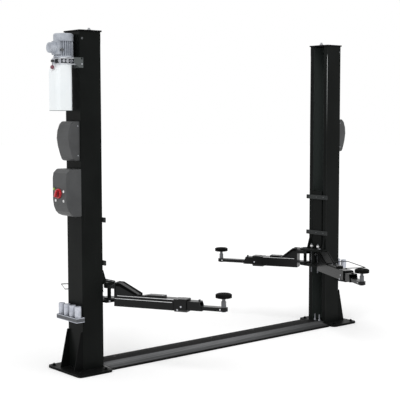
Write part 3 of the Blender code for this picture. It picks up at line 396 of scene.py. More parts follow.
def piece_of(bm, name, material, body, smooth=35, bevel=0.0):
    """Makes the mesh into a piece that moves with a body."""
    bmesh.ops.recalc_face_normals(bm, faces=bm.faces)
    mesh = bpy.data.meshes.new(name)
    bm.to_mesh(mesh)
    bm.free()
    obj = bpy.data.objects.new(name, mesh)
    bpy.context.scene.collection.objects.link(obj)
    mesh.materials.append(material)
    mesh.shade_smooth()
    mesh.set_sharp_from_angle(angle=math.radians(smooth))
    if bevel:
        rounding = obj.modifiers.new("rounding", "BEVEL")
        rounding.width = bevel
        rounding.segments = 2
        rounding.limit_method = "ANGLE"
    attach(obj, body)
    return obj


def plated(name, colour, gloss, metal=0.85):
    """Zinc plate: fine brushing, cloudy tone and a few dull spots."""
    zinc = Finish(name, metallic=metal)
    cloud = zinc.noise(30.0, 4.0)
    fleck = zinc.noise(260.0, 2.0)
    zinc.colour(zinc.mix(zinc.band(cloud, 0.3, 0.7), tuple(0.80 * c for c in colour), colour))
    zinc.rough(cloud * 0.14 + fleck * 0.10 + (gloss - 0.12))
    zinc.bump(fleck, 0.00004, 0.5)
    return zinc.material


ZINC = plated("zinc_plate", tone(196, 198, 204), 0.38, 0.65)
DARK_BOLT = plated("blackened_bolt", tone(96, 98, 100), 0.42, 0.6)
HEAD_WHITE = plated("bright_head", tone(236, 236, 236), 0.40, 0.15)
random.seed(7)
UP, AWAY = (0, 0, 1), (-1, 0, 0)
BASE_TOP = 0.020
ANCHORS = ((-0.188, -0.205), (-0.188, 0.205), (0.062, -0.205), (0.062, 0.205))
INNER_STUDS = ((0.062, -0.062), (0.062, 0.0), (0.062, 0.062))
GUIDE_X, GUIDE_Z = -0.080, 2.757
for side_name in ("left", "right"):
    bm = bmesh.new()
    for x, y in ANCHORS:
        bolt_on(bm, at_post(side_name, x, y, BASE_TOP), UP, across=0.024, tall=0.010, stud=0.006)
    piece_of(bm, f"{side_name}_anchor_bolts", TOP_COAT, "posts")
    bm = bmesh.new()
    for x, y in INNER_STUDS:
        bolt_on(bm, at_post(side_name, x, y, BASE_TOP), UP, across=0.022, tall=0.014, stud=0.050)
    piece_of(bm, f"{side_name}_inner_anchor_studs", ZINC, "posts")
    bm = bmesh.new()
    for sign in (-1, 1):
        guide = at_post(side_name, GUIDE_X, sign * FLANK_Y, GUIDE_Z)
        screw_on(bm, guide, along_post(side_name, 0, sign, 0), radius=0.010, tall=0.004)
    piece_of(bm, f"{side_name}_cable_guide_screws", DARK_BOLT, "posts")

# A thin strip along the bend at the column's mouth carries a painted highlight, a light line that
# is strongest near the top.
bend = Finish("bend_line", specular_ior_level=0.1)
_, _, bend_level = bend.axes()
bend_grain = bend.noise(40.0, 3.0)
bend_highlight_mask = bend.band(bend_level, 1.9, 2.66) * (1 - bend.band(bend_level, 2.70, 2.74))
bend.colour(bend.mix(bend_highlight_mask * (bend_grain * 0.4 + 0.7), tone(22, 24, 23), tone(212, 214, 214)))
bend.rough(bend_grain * 0.2 + 0.3)
BEND_OUTLINE = ((0.0985, 0.1152), (0.1004, 0.1154), (0.1004, 0.1125), (0.0985, 0.1125))
BEND_ENDS = (0.03, 2.80)
for side_name in ("left", "right"):
    bm = bmesh.new()
    for sign in (-1, 1):
        bar_on(bm, [
            [at_post(side_name, x, sign * y, z) for x, y in BEND_OUTLINE] for z in BEND_ENDS
        ])
    piece_of(bm, f"{side_name}_bend_highlight_strips", bend.material, "posts")

# ---------------------------------------------------------------- floor cover
# The cover is tread plate, 4 mm thick, folded to a flat top with a ramp on each side, and screwed
# down. It is painted black. Its near side is a lighter grey that fades along the cover: partly wear
# from shoes and tyres, partly painted light for the light that side catches.
COVER_END = 1.330
TREAD_PITCH, TREAD_ROW_SHARE, TREAD_MARGIN, TREAD_SINK = 0.031, 0.62, 0.012, 0.0004
RIDGE_CLEARANCE, END_CLEARANCE = 0.006, 0.01
HATCH_PITCH = 0.043
TREAD_LONG, TREAD_WIDE, TREAD_TALL = 0.0125, 0.0034, 0.0013
COVER_EDGE_Y, COVER_RIDGE_Y = 0.200, 0.086
COVER_EDGE_Z, COVER_RIDGE_Z = 0.014, 0.030


def cover_height(y):
    """The height of the cover's top at a distance from its middle line."""
    share = max(0.0, (abs(y) - COVER_RIDGE_Y) / (COVER_EDGE_Y - COVER_RIDGE_Y))
    return COVER_RIDGE_Z - share * (COVER_RIDGE_Z - COVER_EDGE_Z)


tread = Finish("tread_plate", specular_ior_level=0.02)
along, across_cover, _ = tread.axes()
near_side = tread.band(0.0 - across_cover, 0.020, 0.032)
near_ramp = tread.band(0.0 - across_cover, 0.118, 0.135)
near_edge = tread.band(0.0 - across_cover, 0.176, 0.190)
away = tread.band(along, -0.1, 1.25)
grit = tread.noise(62.0, 5.0, 0.65)
smear = tread.noise(9.0, 4.0, 0.6, (0.35, 1.6, 1.0))
hatch = (along * 0.80 + across_cover * 0.60) * (2 * math.pi / HATCH_PITCH)
hatch = hatch.math("SINE", hatch) * 0.5 + 0.5
# The lighter grey on the near side is partly wear and partly painted light.
lit_and_worn_share = near_side * (1 - hatch * 0.42) * (1 - away * 0.55)
lit_and_worn_share = lit_and_worn_share * (1 - near_ramp * 0.45) * (1 - near_edge * 0.85)
lit_and_worn_grey = tread.mix(smear, tone(100, 101, 102), tone(132, 133, 135))
black_colour = tread.mix(smear, tone(18, 18, 18), tone(34, 34, 34))
faces_up = tread.facing_up()
top_colour = tread.mix(lit_and_worn_share, black_colour, lit_and_worn_grey)
top_colour = tread.mix(tread.band(grit, 0.52, 0.72) * lit_and_worn_share * 0.35, top_colour, tone(84, 83, 81))
tread.colour(tread.mix(faces_up, tone(12, 12, 12), top_colour))
tread.rough(grit * 0.25 + 0.52)
tread.bump(grit, 0.0003, 0.5)
wear("floor_cover", tread.material)

bm = bmesh.new()
rows = int(2 * COVER_EDGE_Y / (TREAD_PITCH * TREAD_ROW_SHARE))
steps = int(2 * COVER_END / TREAD_PITCH)
slope = math.atan((COVER_RIDGE_Z - COVER_EDGE_Z) / (COVER_EDGE_Y - COVER_RIDGE_Y))
for row in range(rows):
    y = -COVER_EDGE_Y + TREAD_MARGIN + row * (2 * COVER_EDGE_Y - 2 * TREAD_MARGIN) / (rows - 1)
    if abs(abs(y) - COVER_RIDGE_Y) < RIDGE_CLEARANCE:
        continue
    tip = 0.0 if abs(y) < COVER_RIDGE_Y else -math.copysign(slope, y)
    for i in range(steps):
        x = -COVER_END + TREAD_PITCH * (i + 0.5 + 0.5 * (row % 2))
        if abs(x) > COVER_END - END_CLEARANCE:
            continue
        lean = math.radians(45 if (i + row) % 2 else -45)
        matrix = (
            Matrix.Translation((x, y, cover_height(y)))
            @ Matrix.Rotation(tip, 4, "X")
            @ Matrix.Rotation(lean, 4, "Z")
        )
        low = [
            bm.verts.new(matrix @ Vector((dx * TREAD_LONG, dy * TREAD_WIDE, -TREAD_SINK)))
            for dx, dy in ((-1, 0), (0, -1), (1, 0), (0, 1))
        ]
        crown = bm.verts.new(matrix @ Vector((0, 0, TREAD_TALL)))
        for j in range(4):
            bm.faces.new((low[j], low[(j + 1) % 4], crown))
        bm.faces.new(list(reversed(low)))
piece_of(bm, "tread_lozenges", tread.material, "posts", 60)

COVER_SCREWS = (
    (-0.56, -0.094), (0.54, -0.094), (0.02, 0.094), (0.56, 0.094), (-1.10, 0.094), (-1.10, -0.094),
)
bm = bmesh.new()
for x, y in COVER_SCREWS:
    screw_on(bm, (x, y, cover_height(y) - 0.0006), UP, radius=0.0075, tall=0.0030)
piece_of(bm, "cover_screws", DARK_BOLT, "posts")

# ---------------------------------------------------------------- power unit
# A cast valve block sits on a steel bracket that wraps the column's corners. A white plastic oil
# tank hangs under it. A finned motor of cast alloy, with a sheet fan cover and a round capacitor
# box, stands on it.
alloy = Finish("cast_alloy", metallic=0.25, specular_ior_level=0.4)
alloy_cloud = alloy.noise(14.0, 4.0)
alloy_grain = alloy.noise(300.0, 3.0)
alloy_x, alloy_y, alloy_level = alloy.axes()
MOTOR_X, MOTOR_LOW, MOTOR_RADIUS = -0.185, 2.6006, 0.0785
MOTOR_TOP = MOTOR_LOW + 0.193
FAN_LOW = MOTOR_TOP - 0.062
from_axis = alloy_x + (POST_X - MOTOR_X)
from_axis = from_axis * from_axis + alloy_y * alloy_y
from_axis = from_axis.math("POWER", from_axis, 0.5)
# The recesses between the fins are painted darker, as painted shade.
fin_gap_shade = 1 - alloy.band(from_axis, 0.0725, 0.0775)
fin_gap_shade = fin_gap_shade * (1 - alloy.band(alloy_level, FAN_LOW - 0.004, FAN_LOW))
fin_gap_shade = fin_gap_shade * alloy.band(from_axis, 0.060, 0.070)
clouded = alloy.band(alloy_cloud, 0.3, 0.7)
alloy_base = alloy.mix(clouded, tone(150, 155, 164), tone(182, 187, 195))
alloy.colour(alloy.mix(fin_gap_shade * 0.8, alloy_base, tone(104, 110, 120)))
alloy.rough(alloy_cloud * 0.12 + alloy_grain * 0.12 + 0.34)
alloy.bump(alloy_grain, 0.00012, 0.6)
wear("pump_motor", alloy.material)

VALVE_LOW, VALVE_TALL = 2.5423, 0.058
VALVE_TOP, VALVE_MID = VALVE_LOW + VALVE_TALL, VALVE_LOW + VALVE_TALL / 2
FLANGE_INNER, FLANGE_OUTER = 0.0095, 0.0115
valve = Finish("valve_alloy", metallic=0.1, specular_ior_level=0.25)
_, _, valve_level = valve.axes()
upper_flange = valve.band(valve_level, VALVE_TOP - FLANGE_OUTER, VALVE_TOP - FLANGE_INNER)
above_lower = valve.band(valve_level, VALVE_LOW + FLANGE_INNER, VALVE_LOW + FLANGE_OUTER)
flange = upper_flange.math("MAXIMUM", upper_flange, 1 - above_lower)
valve_grain = valve.noise(180.0, 3.0)
valve_body = valve.mix(valve_grain, tone(30, 34, 38), tone(58, 62, 66))
valve.colour(valve.mix(flange, valve_body, tone(214, 217, 222)))
valve.rough(valve_grain * 0.2 + 0.30)
valve.bump(valve_grain, 0.0001, 0.6)
wear("valve_block", valve.material)

plastic = Finish("tank_plastic", specular_ior_level=0.35)
_, _, tank_level = plastic.axes()
plastic_cloud = plastic.noise(7.0, 2.0)
seam = 1 - plastic.band(tank_level, 2.1715, 2.1765)
oil_mark = plastic.band(tank_level, 2.30, 2.36)
tank_colour = plastic.mix(plastic_cloud, tone(236, 242, 245), tone(247, 250, 251))
tank_colour = plastic.mix((1 - oil_mark) * 0.25, tank_colour, tone(232, 237, 238))
plastic.colour(plastic.mix(seam, tank_colour, tone(96, 102, 104)))
plastic.rough(plastic_cloud * 0.15 + 0.36)
plastic.bump(plastic.noise(150.0, 2.0), 0.00008, 0.4)
wear("oil_tank", plastic.material)

GREY_COAT = coated("grey_coat", tone(86, 90, 90), tone(120, 121, 120), gloss=0.40, level=0.2)
wear("power_unit_bracket", GREY_COAT)

knob_plastic = Finish("knob_plastic", coat_weight=0.3, specular_ior_level=0.4)
knob_cloud = knob_plastic.noise(60.0, 3.0)
_, _, knob_level = knob_plastic.axes()
KNOB_TOP = 2.5375
knob_colour = knob_plastic.mix(knob_cloud, tone(96, 48, 62), tone(128, 76, 88))
knob_stem = knob_plastic.band(knob_level, KNOB_TOP, KNOB_TOP + 0.002)
knob_plastic.colour(knob_plastic.mix(knob_stem, knob_colour, tone(34, 34, 36)))
knob_plastic.rough(knob_cloud * 0.15 + 0.26)
wear("lowering_lever", knob_plastic.material)

# The fan cover is a drawn sheet cup with a flat end and a small rounding.
MOTOR_CROWN = at_post("left", MOTOR_X, 0, MOTOR_TOP)
FAN_CUP = (
    (0.0812, FAN_LOW - MOTOR_TOP), (0.0812, -0.0125), (0.0795, -0.0060), (0.0750, -0.0012),
    (0.0690, 0.0012),
)
bm = bmesh.new()
turned_on(bm, FAN_CUP, MOTOR_CROWN, UP, 56)
piece_of(bm, "fan_cover", alloy.material, "posts")
bm = bmesh.new()
for radius in (0.012, 0.021, 0.030, 0.039):
    ring = [
        (radius + 0.003, 0.0006), (radius + 0.0024, 0.0030), (radius - 0.0024, 0.0030),
        (radius - 0.003, 0.0006),
    ]
    turned_on(bm, ring, MOTOR_CROWN, UP, 40)
piece_of(bm, "fan_cover_rings", alloy.material, "posts")
bm = bmesh.new()
for i in range(4):
    a = math.radians(45 + 90 * i)
    out = Vector((math.cos(a), math.sin(a), 0))
    cup_screw = at_post("left", MOTOR_X, 0, MOTOR_TOP - 0.042) + out * (MOTOR_RADIUS + 0.002)
    screw_on(bm, cup_screw, out, radius=0.0042, tall=0.003)
    foot_bolt = at_post("left", MOTOR_X, 0, MOTOR_LOW + 0.0125) + out * (MOTOR_RADIUS - 0.004)
    bolt_on(bm, foot_bolt, UP, across=0.010, tall=0.006, washer=False)
# The capacitor box is a square foot on the motor with a drum on it, whose axis lies along x.
DRUM_X, DRUM_Z, DRUM_RADIUS, DRUM_SCREW_RADIUS = -0.3245, 2.6776, 0.0425, 0.030
BOX_FACE_X, BEAD_X = -0.2695, -0.292
for i in range(3):
    a = math.radians(90 + 120 * i)
    y, z = DRUM_SCREW_RADIUS * math.cos(a), DRUM_Z + DRUM_SCREW_RADIUS * math.sin(a)
    screw_on(bm, at_post("left", DRUM_X, y, z), AWAY, radius=0.004, tall=0.003)
for y in (-0.040, 0.040):
    for z in (-0.048, 0.048):
        box_screw = at_post("left", BOX_FACE_X, y, DRUM_Z + z)
        screw_on(bm, box_screw, AWAY, radius=0.0042, tall=0.003)
piece_of(bm, "motor_screws", ZINC, "posts")
BEAD = (
    (DRUM_RADIUS + 0.0005, 0.0), (DRUM_RADIUS + 0.0018, 0.0012), (DRUM_RADIUS + 0.0018, 0.0050),
    (DRUM_RADIUS + 0.0005, 0.0062),
)
bm = bmesh.new()
turned_on(bm, BEAD, at_post("left", BEAD_X, 0, DRUM_Z), AWAY, 48)
piece_of(bm, "capacitor_box_bead", alloy.material, "posts")
GLAND = ((0.009, 0.0), (0.009, 0.014), (0.0125, 0.015), (0.0125, 0.024), (0.008, 0.026))
bm = bmesh.new()
turned_on(bm, GLAND, at_post("left", -0.240, -0.0485, DRUM_Z - 0.018), (0, -1, 0), 24)
piece_of(bm, "capacitor_box_gland", DARK_BOLT, "posts")

# The block's face and flank, and the bracket's bolts. A plug's outline has its radii as shares.
VALVE_X, VALVE_Y, BRACKET_X, BRACKET_Y = -0.250, 0.075, -0.088, 0.1203
VALVE_PLUG = ((1.0, -0.001), (1.0, 0.006), (0.90, 0.0085), (0.62, 0.0085), (0.55, 0.004))
bm = bmesh.new()
for x, radius in ((-0.232, 0.0125), (-0.196, 0.0150), (-0.160, 0.0135), (-0.128, 0.0110)):
    for sign in (-1, 1):
        turned_on(
            bm, [(radius * share, height) for share, height in VALVE_PLUG],
            at_post("left", x, sign * VALVE_Y, VALVE_MID), (0, sign, 0), 24,
        )
for y, radius in ((-0.048, 0.0130), (0.046, 0.0150)):
    bolt_on(bm, at_post("left", VALVE_X, y, VALVE_MID), AWAY, across=radius * 1.7, tall=0.011)
piece_of(bm, "valve_plugs", ZINC, "posts")
BRACKET_BOLTS = (
    ("upper", 2.5915, BLACK_COAT, "black_paint"), ("lower", 2.5480, ZINC, "screw_zinc"),
)
for level, z, finish, slot_name in BRACKET_BOLTS:
    bm = bmesh.new()
    for sign in (-1, 1):
        bracket_bolt = at_post("left", BRACKET_X, sign * BRACKET_Y, z)
        bolt_on(bm, bracket_bolt, (0, sign, 0), across=0.012, tall=0.004, washer=False)
    piece_of(bm, f"{level}_bracket_bolts", finish, "posts")

# ---------------------------------------------------------------- moulded covers and control box
# The lock covers and the control box are vacuum formed from grey plastic, with a flange against
# the column. The box holds a red rotary switch amid four screws, and a green push button.
moulded = Finish("moulded_grey", specular_ior_level=0.35)
mould_cloud = moulded.noise(5.0, 3.0)
mould_grain = moulded.noise(240.0, 3.0, 0.6)
mould_tone = moulded.band(mould_cloud, 0.3, 0.7)
moulded.colour(moulded.mix(mould_tone, tone(58, 59, 60), tone(70, 71, 72)))
moulded.rough(mould_cloud * 0.12 + mould_grain * 0.14 + 0.32)
moulded.bump(mould_grain, 0.00010, 0.6)
for node in ("left_lock_cover", "right_lock_cover", "control_box"):
    wear(node, moulded.material)

LOCK_LOW, LOCK_HALF, COVER_SCREW_X = 1.760, 0.096, -0.118
for side_name in ("left", "right"):
    bm = bmesh.new()
    for z in (LOCK_LOW + 0.045, LOCK_LOW + 0.287):
        for sign in (-1, 1):
            lock_screw = at_post(side_name, COVER_SCREW_X, sign * LOCK_HALF, z)
            screw_on(bm, lock_screw, along_post(side_name, 0, sign, 0), radius=0.005, tall=0.003)
    piece_of(bm, f"{side_name}_lock_cover_screws", ZINC, "posts")

CONTROL_LOW, CONTROL_HALF, CONTROL_FACE = 1.303, 0.110, -0.2403
bm = bmesh.new()
for y in (-0.061, 0.057):
    for z in (1.436, 1.514):
        screw_on(bm, at_post("left", CONTROL_FACE, y, z), AWAY, radius=0.0115, tall=0.005)
piece_of(bm, "switch_plate_screws", HEAD_WHITE, "posts")
bm = bmesh.new()
for z in (CONTROL_LOW + 0.035, CONTROL_LOW + 0.36):
    box_screw = at_post("left", COVER_SCREW_X, CONTROL_HALF, z)
    screw_on(bm, box_screw, (0, 1, 0), radius=0.006, tall=0.0035)
piece_of(bm, "control_box_screws", ZINC, "posts")

gloss_red = Finish("switch_red", coat_weight=0.4, specular_ior_level=0.5)
red_cloud = gloss_red.noise(90.0, 3.0)
gloss_red.colour(gloss_red.mix(red_cloud, tone(168, 16, 26), tone(206, 34, 44)))
gloss_red.rough(red_cloud * 0.15 + 0.22)
gloss_red.bump(red_cloud, 0.0001, 0.3)
wear("main_switch", gloss_red.material)
dark_red = Finish("switch_red_shade", coat_weight=0.4, specular_ior_level=0.4)
dark_red_cloud = dark_red.noise(90.0, 3.0)
dark_red.colour(dark_red.mix(dark_red_cloud, tone(84, 6, 12), tone(112, 12, 20)))
dark_red.rough(dark_red_cloud * 0.15 + 0.28)
# The switch's handle is a thick red ring with a bar across it. A darker red disc fills the hollow
# inside it, as painted shade.
SWITCH_Y, SWITCH_Z, BAR_LEAN = 0.010, 1.495, math.radians(28)
SWITCH_FACE = at_post("left", CONTROL_FACE - 0.004, SWITCH_Y, SWITCH_Z)
SWITCH_RING = (
    (0.040, -0.004), (0.041, 0.006), (0.0385, 0.0125), (0.0315, 0.0125), (0.0290, 0.0060),
)
bm = bmesh.new()
turned_on(bm, SWITCH_RING, SWITCH_FACE, AWAY, 40)
piece_of(bm, "main_switch_ring", gloss_red.material, "main_switch")
bm = bmesh.new()
turned_on(bm, ((0.0300, 0.0), (0.0300, 0.0204)), SWITCH_FACE, AWAY, 40)
piece_of(bm, "main_switch_hollow", dark_red.material, "main_switch")
bm = bmesh.new()
bar = Matrix.Translation(at_post("left", CONTROL_FACE - 0.030, SWITCH_Y, SWITCH_Z))
bar = bar @ Matrix.Rotation(BAR_LEAN, 4, "X") @ Matrix.Diagonal((0.020, 0.015, 0.060, 1))
bmesh.ops.create_cube(bm, size=1.0, matrix=bar)
piece_of(bm, "main_switch_bar", gloss_red.material, "main_switch", bevel=0.0025)
gloss_green = Finish("button_green", coat_weight=0.4, specular_ior_level=0.5)
green_cloud = gloss_green.noise(90.0, 3.0)
gloss_green.colour(gloss_green.mix(green_cloud, tone(120, 150, 50), tone(156, 178, 84)))
gloss_green.rough(green_cloud * 0.15 + 0.24)
wear("raise_button", gloss_green.material)
BUTTON_Y, BUTTON_Z = 0.069, 1.530
BEZEL = ((0.0165, 0.0), (0.0165, 0.0035), (0.0150, 0.0050), (0.0122, 0.0050), (0.0122, 0.0))
bm = bmesh.new()
turned_on(bm, BEZEL, at_post("left", CONTROL_FACE, BUTTON_Y, BUTTON_Z), AWAY, 32)
piece_of(bm, "button_bezel", DARK_BOLT, "posts")

# ---------------------------------------------------------------- adapter racks
# A folded steel tray on each column holds a row of four tubular height adapters. Both are zinc
# plated.
rack_zinc = Finish("rack_zinc", metallic=0.2, specular_ior_level=0.4)
rack_cloud = rack_zinc.noise(26.0, 4.0)
rack_fine = rack_zinc.noise(320.0, 2.0)
_, _, rack_level = rack_zinc.axes()
RACK_LOW, RACK_TOP = 0.430, 0.468
rack_tone = rack_zinc.band(rack_cloud, 0.3, 0.7)
rack_colour = rack_zinc.mix(rack_tone, tone(172, 176, 186), tone(202, 205, 214))
tray = rack_zinc.band(rack_level, RACK_LOW + 0.003, RACK_LOW + 0.006)
tray = tray * (1 - rack_zinc.band(rack_level, RACK_TOP - 0.006, RACK_TOP - 0.003))
rack_zinc.colour(rack_zinc.mix(tray * 0.9, rack_colour, tone(52, 54, 57)))
rack_zinc.rough(rack_cloud * 0.15 + rack_fine * 0.10 + 0.28)
rack_zinc.bump(rack_fine, 0.00005, 0.5)
ADAPTER_TOPS = {"left": 0.560, "right": 0.650}
ADAPTER_X, ADAPTER_FIRST_Y, ADAPTER_PITCH = -0.145, -0.106, 0.081
for side_name, top in ADAPTER_TOPS.items():
    wear(f"{side_name}_adapter_rack", rack_zinc.material)
    sleeve = (
        (0.0262, 0.470), (0.0274, 0.472), (0.0274, top - 0.003), (0.0262, top + 0.0006),
        (0.0185, top + 0.0006), (0.0170, top - 0.002), (0.0170, 0.500),
    )
    bm = bmesh.new()
    for i in range(4):
        foot = at_post(side_name, ADAPTER_X, ADAPTER_FIRST_Y + ADAPTER_PITCH * i, 0)
        turned_on(bm, sleeve, foot, UP, 36)
    piece_of(bm, f"{side_name}_adapter_sleeves", rack_zinc.material, "posts")

# ---------------------------------------------------------------- carriages
# A carriage is a welded steel box that runs inside its column on plastic blocks. It carries two
# rubber door guards, the arms' pivot pins, and two sprung lock rods with bright heads.
for side_name in ("left", "right"):
    wear(f"{side_name}_carriage", BLACK_COAT)

rubber = Finish("black_rubber", specular_ior_level=0.06)
rubber_cloud = rubber.noise(20.0, 4.0)
rubber_grain = rubber.noise(420.0, 3.0, 0.65)
rubber_tone = rubber.band(rubber_cloud, 0.3, 0.7)
rubber.colour(rubber.mix(rubber_tone, tone(10, 10, 10), tone(20, 20, 19)))
rubber.rough(rubber_cloud * 0.15 + rubber_grain * 0.1 + 0.52)
rubber.bump(rubber_grain, 0.0002, 0.7)
guard_rubber = Finish("guard_rubber", specular_ior_level=0.15)
guard_cloud = guard_rubber.noise(20.0, 4.0)
guard_grain = guard_rubber.noise(380.0, 3.0, 0.6)
guard_rubber.colour(guard_rubber.mix(guard_cloud, tone(38, 40, 40), tone(56, 58, 58)))
guard_rubber.rough(guard_cloud * 0.2 + 0.48)
guard_rubber.bump(guard_grain, 0.0002, 0.7)

BRIGHT = plated("bright_rod", tone(214, 214, 216), 0.26, 0.9)
CARRIAGE_HEIGHT = {"left": 0.585, "right": 0.622}
ROD_X, ROD_Y, ROD_HEAD = 0.140, 0.043, 0.176
PIVOT_X, PIVOT_Y = 0.175, 0.100
GUARD_X, GUARD_LEVELS, GUARD_SCREW_Y = 0.122, (0.316, 0.678), (-0.095, 0.0, 0.095)


def coil_on(bm, at, radius, wire, low, high, turns, steps=16):
    """A round wire wound round a vertical axis."""
    around = [2 * math.pi * j / 6 for j in range(6)]
    sections = []
    for i in range(turns * steps + 1):
        a = 2 * math.pi * i / steps
        z = low + (high - low) * i / (turns * steps)
        out = Vector((math.cos(a), math.sin(a), 0))
        centre = Vector(at) + out * radius + Vector((0, 0, z))
        sections.append([
            centre + (out * math.cos(b) + Vector(UP) * math.sin(b)) * wire for b in around
        ])
    bar_on(bm, sections)


for side_name, height in CARRIAGE_HEIGHT.items():
    for level in ("lower", "upper"):
        wear(f"{side_name}_{level}_door_guard", guard_rubber.material)
    bm = bmesh.new()
    for level in GUARD_LEVELS:
        for y in GUARD_SCREW_Y:
            guard_screw = at_post(side_name, GUARD_X, y, height + level)
            screw_on(bm, guard_screw, along_post(side_name, 1, 0, 0), radius=0.0065, tall=0.003)
    piece_of(bm, f"{side_name}_guard_screws", DARK_BOLT, f"{side_name}_carriage")
    bm = bmesh.new()
    for sign in (-1, 1):
        rod_foot = at_post(side_name, ROD_X, sign * ROD_Y, height)
        coil_on(bm, rod_foot, radius=0.0112, wire=0.0016, low=0.062, high=0.132, turns=9)
        seat = rod_foot + Vector((0, 0, 0.0575))
        turned_on(bm, ((0.0145, 0.0), (0.0145, 0.003), (0.009, 0.003)), seat, UP, 24)
    piece_of(bm, f"{side_name}_lock_springs", DARK_BOLT, f"{side_name}_carriage")
    bm = bmesh.new()
    for sign in (-1, 1):
        cap = at_post(side_name, PIVOT_X, sign * PIVOT_Y, height + 0.162)
        screw_on(bm, cap, UP, radius=0.014, tall=0.003)
        lug_bolt = at_post(side_name, ROD_X, sign * 0.1525, height - 0.006)
        lug_out = along_post(side_name, 0, sign, 0)
        bolt_on(bm, lug_bolt, lug_out, across=0.016, tall=0.006, washer=False)
    piece_of(bm, f"{side_name}_pin_caps", ZINC, f"{side_name}_carriage")

# ---------------------------------------------------------------- arms
# Each arm is three square tubes, one inside the next, welded from plate and painted black. Zinc
# plated screws hold the collar and the stops, and set screws hold the pad's socket.

# An arm's side, on which side of the pivots it lies, its angle in degrees, and its length.
ARMS = {
    "left_front": ("left", -1, 28.5, "long"),
    "left_rear": ("left", 1, 25.5, "short"),
    "right_front": ("right", 1, 25.0, "long"),
    "right_rear": ("right", -1, 28.0, "short"),
}
# Along an arm from its pivot: the outer tube's mouth, the pad's boss, the ends of the plate on top
# of the outer tube, and the wedge's end.
REACH = {
    "long": {"mouth": 0.650, "boss": 1.029, "plate": (0.375, 0.515), "wedge": 0.287},
    "short": {"mouth": 0.480, "boss": 0.915, "plate": (0.257, 0.366), "wedge": 0.229},
}
ARM_COAT = coated(
    "arm_coat", tone(18, 19, 19), tone(46, 46, 45),
    gloss=0.20, peel=0.00004, level=0.16, settles=0.3,
)
# A near white finish for the painted highlights on the arms' edges.
EDGE_HIGHLIGHT = plated("painted_edge_highlight", tone(232, 233, 234), 0.40, 0.2)
ROD_GREY = plated("lock_rod_steel", tone(104, 106, 110), 0.40, 0.6)
# A near black coat for the painted shade on the wedges.
WEDGE_SHADE = coated(
    "painted_shade_black", tone(6, 6, 6), tone(16, 16, 16),
    gloss=0.5, peel=0.00004, level=0.02, settles=0.3,
)
ARM_SIDE, STRIP_THICKNESS = 0.050, 0.008
COLLAR_SIDE, SOCKET_SIDE, SHADE_BACK, SHADE_FACE = 0.054, 0.0340, 0.0495, 0.0506
PLATE_LEVEL, PLATE_INSET, PLATE_SCREW_SIDE = 0.065, 0.012, 0.022
# Each painted highlight line's place across the arm, its height, and where it starts and ends along
# the arm.
HIGHLIGHT_LINES = {
    "left_front": (
        (ARM_SIDE, 0.0425, 0.10, 0.610), (ARM_SIDE + STRIP_THICKNESS, 0.0195, 0.080, 0.600),
    ),
    "left_rear": (),
    "right_front": (),
    "right_rear": ((ARM_SIDE, 0.0425, 0.10, 0.435),),
}
HIGHLIGHT_OUTLINE = ((-0.0012, 0), (0.0028, 0), (0.0028, 0.0036), (-0.0012, 0.0036))
# Each collar bolt's place along the arm from the outer tube's mouth, and its height.
COLLAR_BOLTS = {
    "left_front": ((0.026, -0.011), (-0.005, -0.038)),
    "left_rear": ((0.050, -0.011), (0.012, -0.030)),
    "right_front": ((0.018, 0.002), (-0.005, -0.036)),
    "right_rear": ((0.050, -0.011),),
}
ROD_HEAD_OUTLINE = (
    (0.008, -0.0125), (0.0125, -0.009), (0.0145, -0.003), (0.0145, 0.003), (0.0125, 0.009),
    (0.008, 0.0125),
)


def on_arm(name, u, v, z):
    """A place given along an arm from its pivot, across it, and above its middle."""
    side_name, sign, rest, _ = ARMS[name]
    turn = sign * math.radians(90 - rest)
    x = PIVOT_X + u * math.cos(turn) - v * math.sin(turn)
    y = sign * PIVOT_Y + u * math.sin(turn) + v * math.cos(turn)
    return at_post(side_name, x, y, CARRIAGE_HEIGHT[side_name] + z)


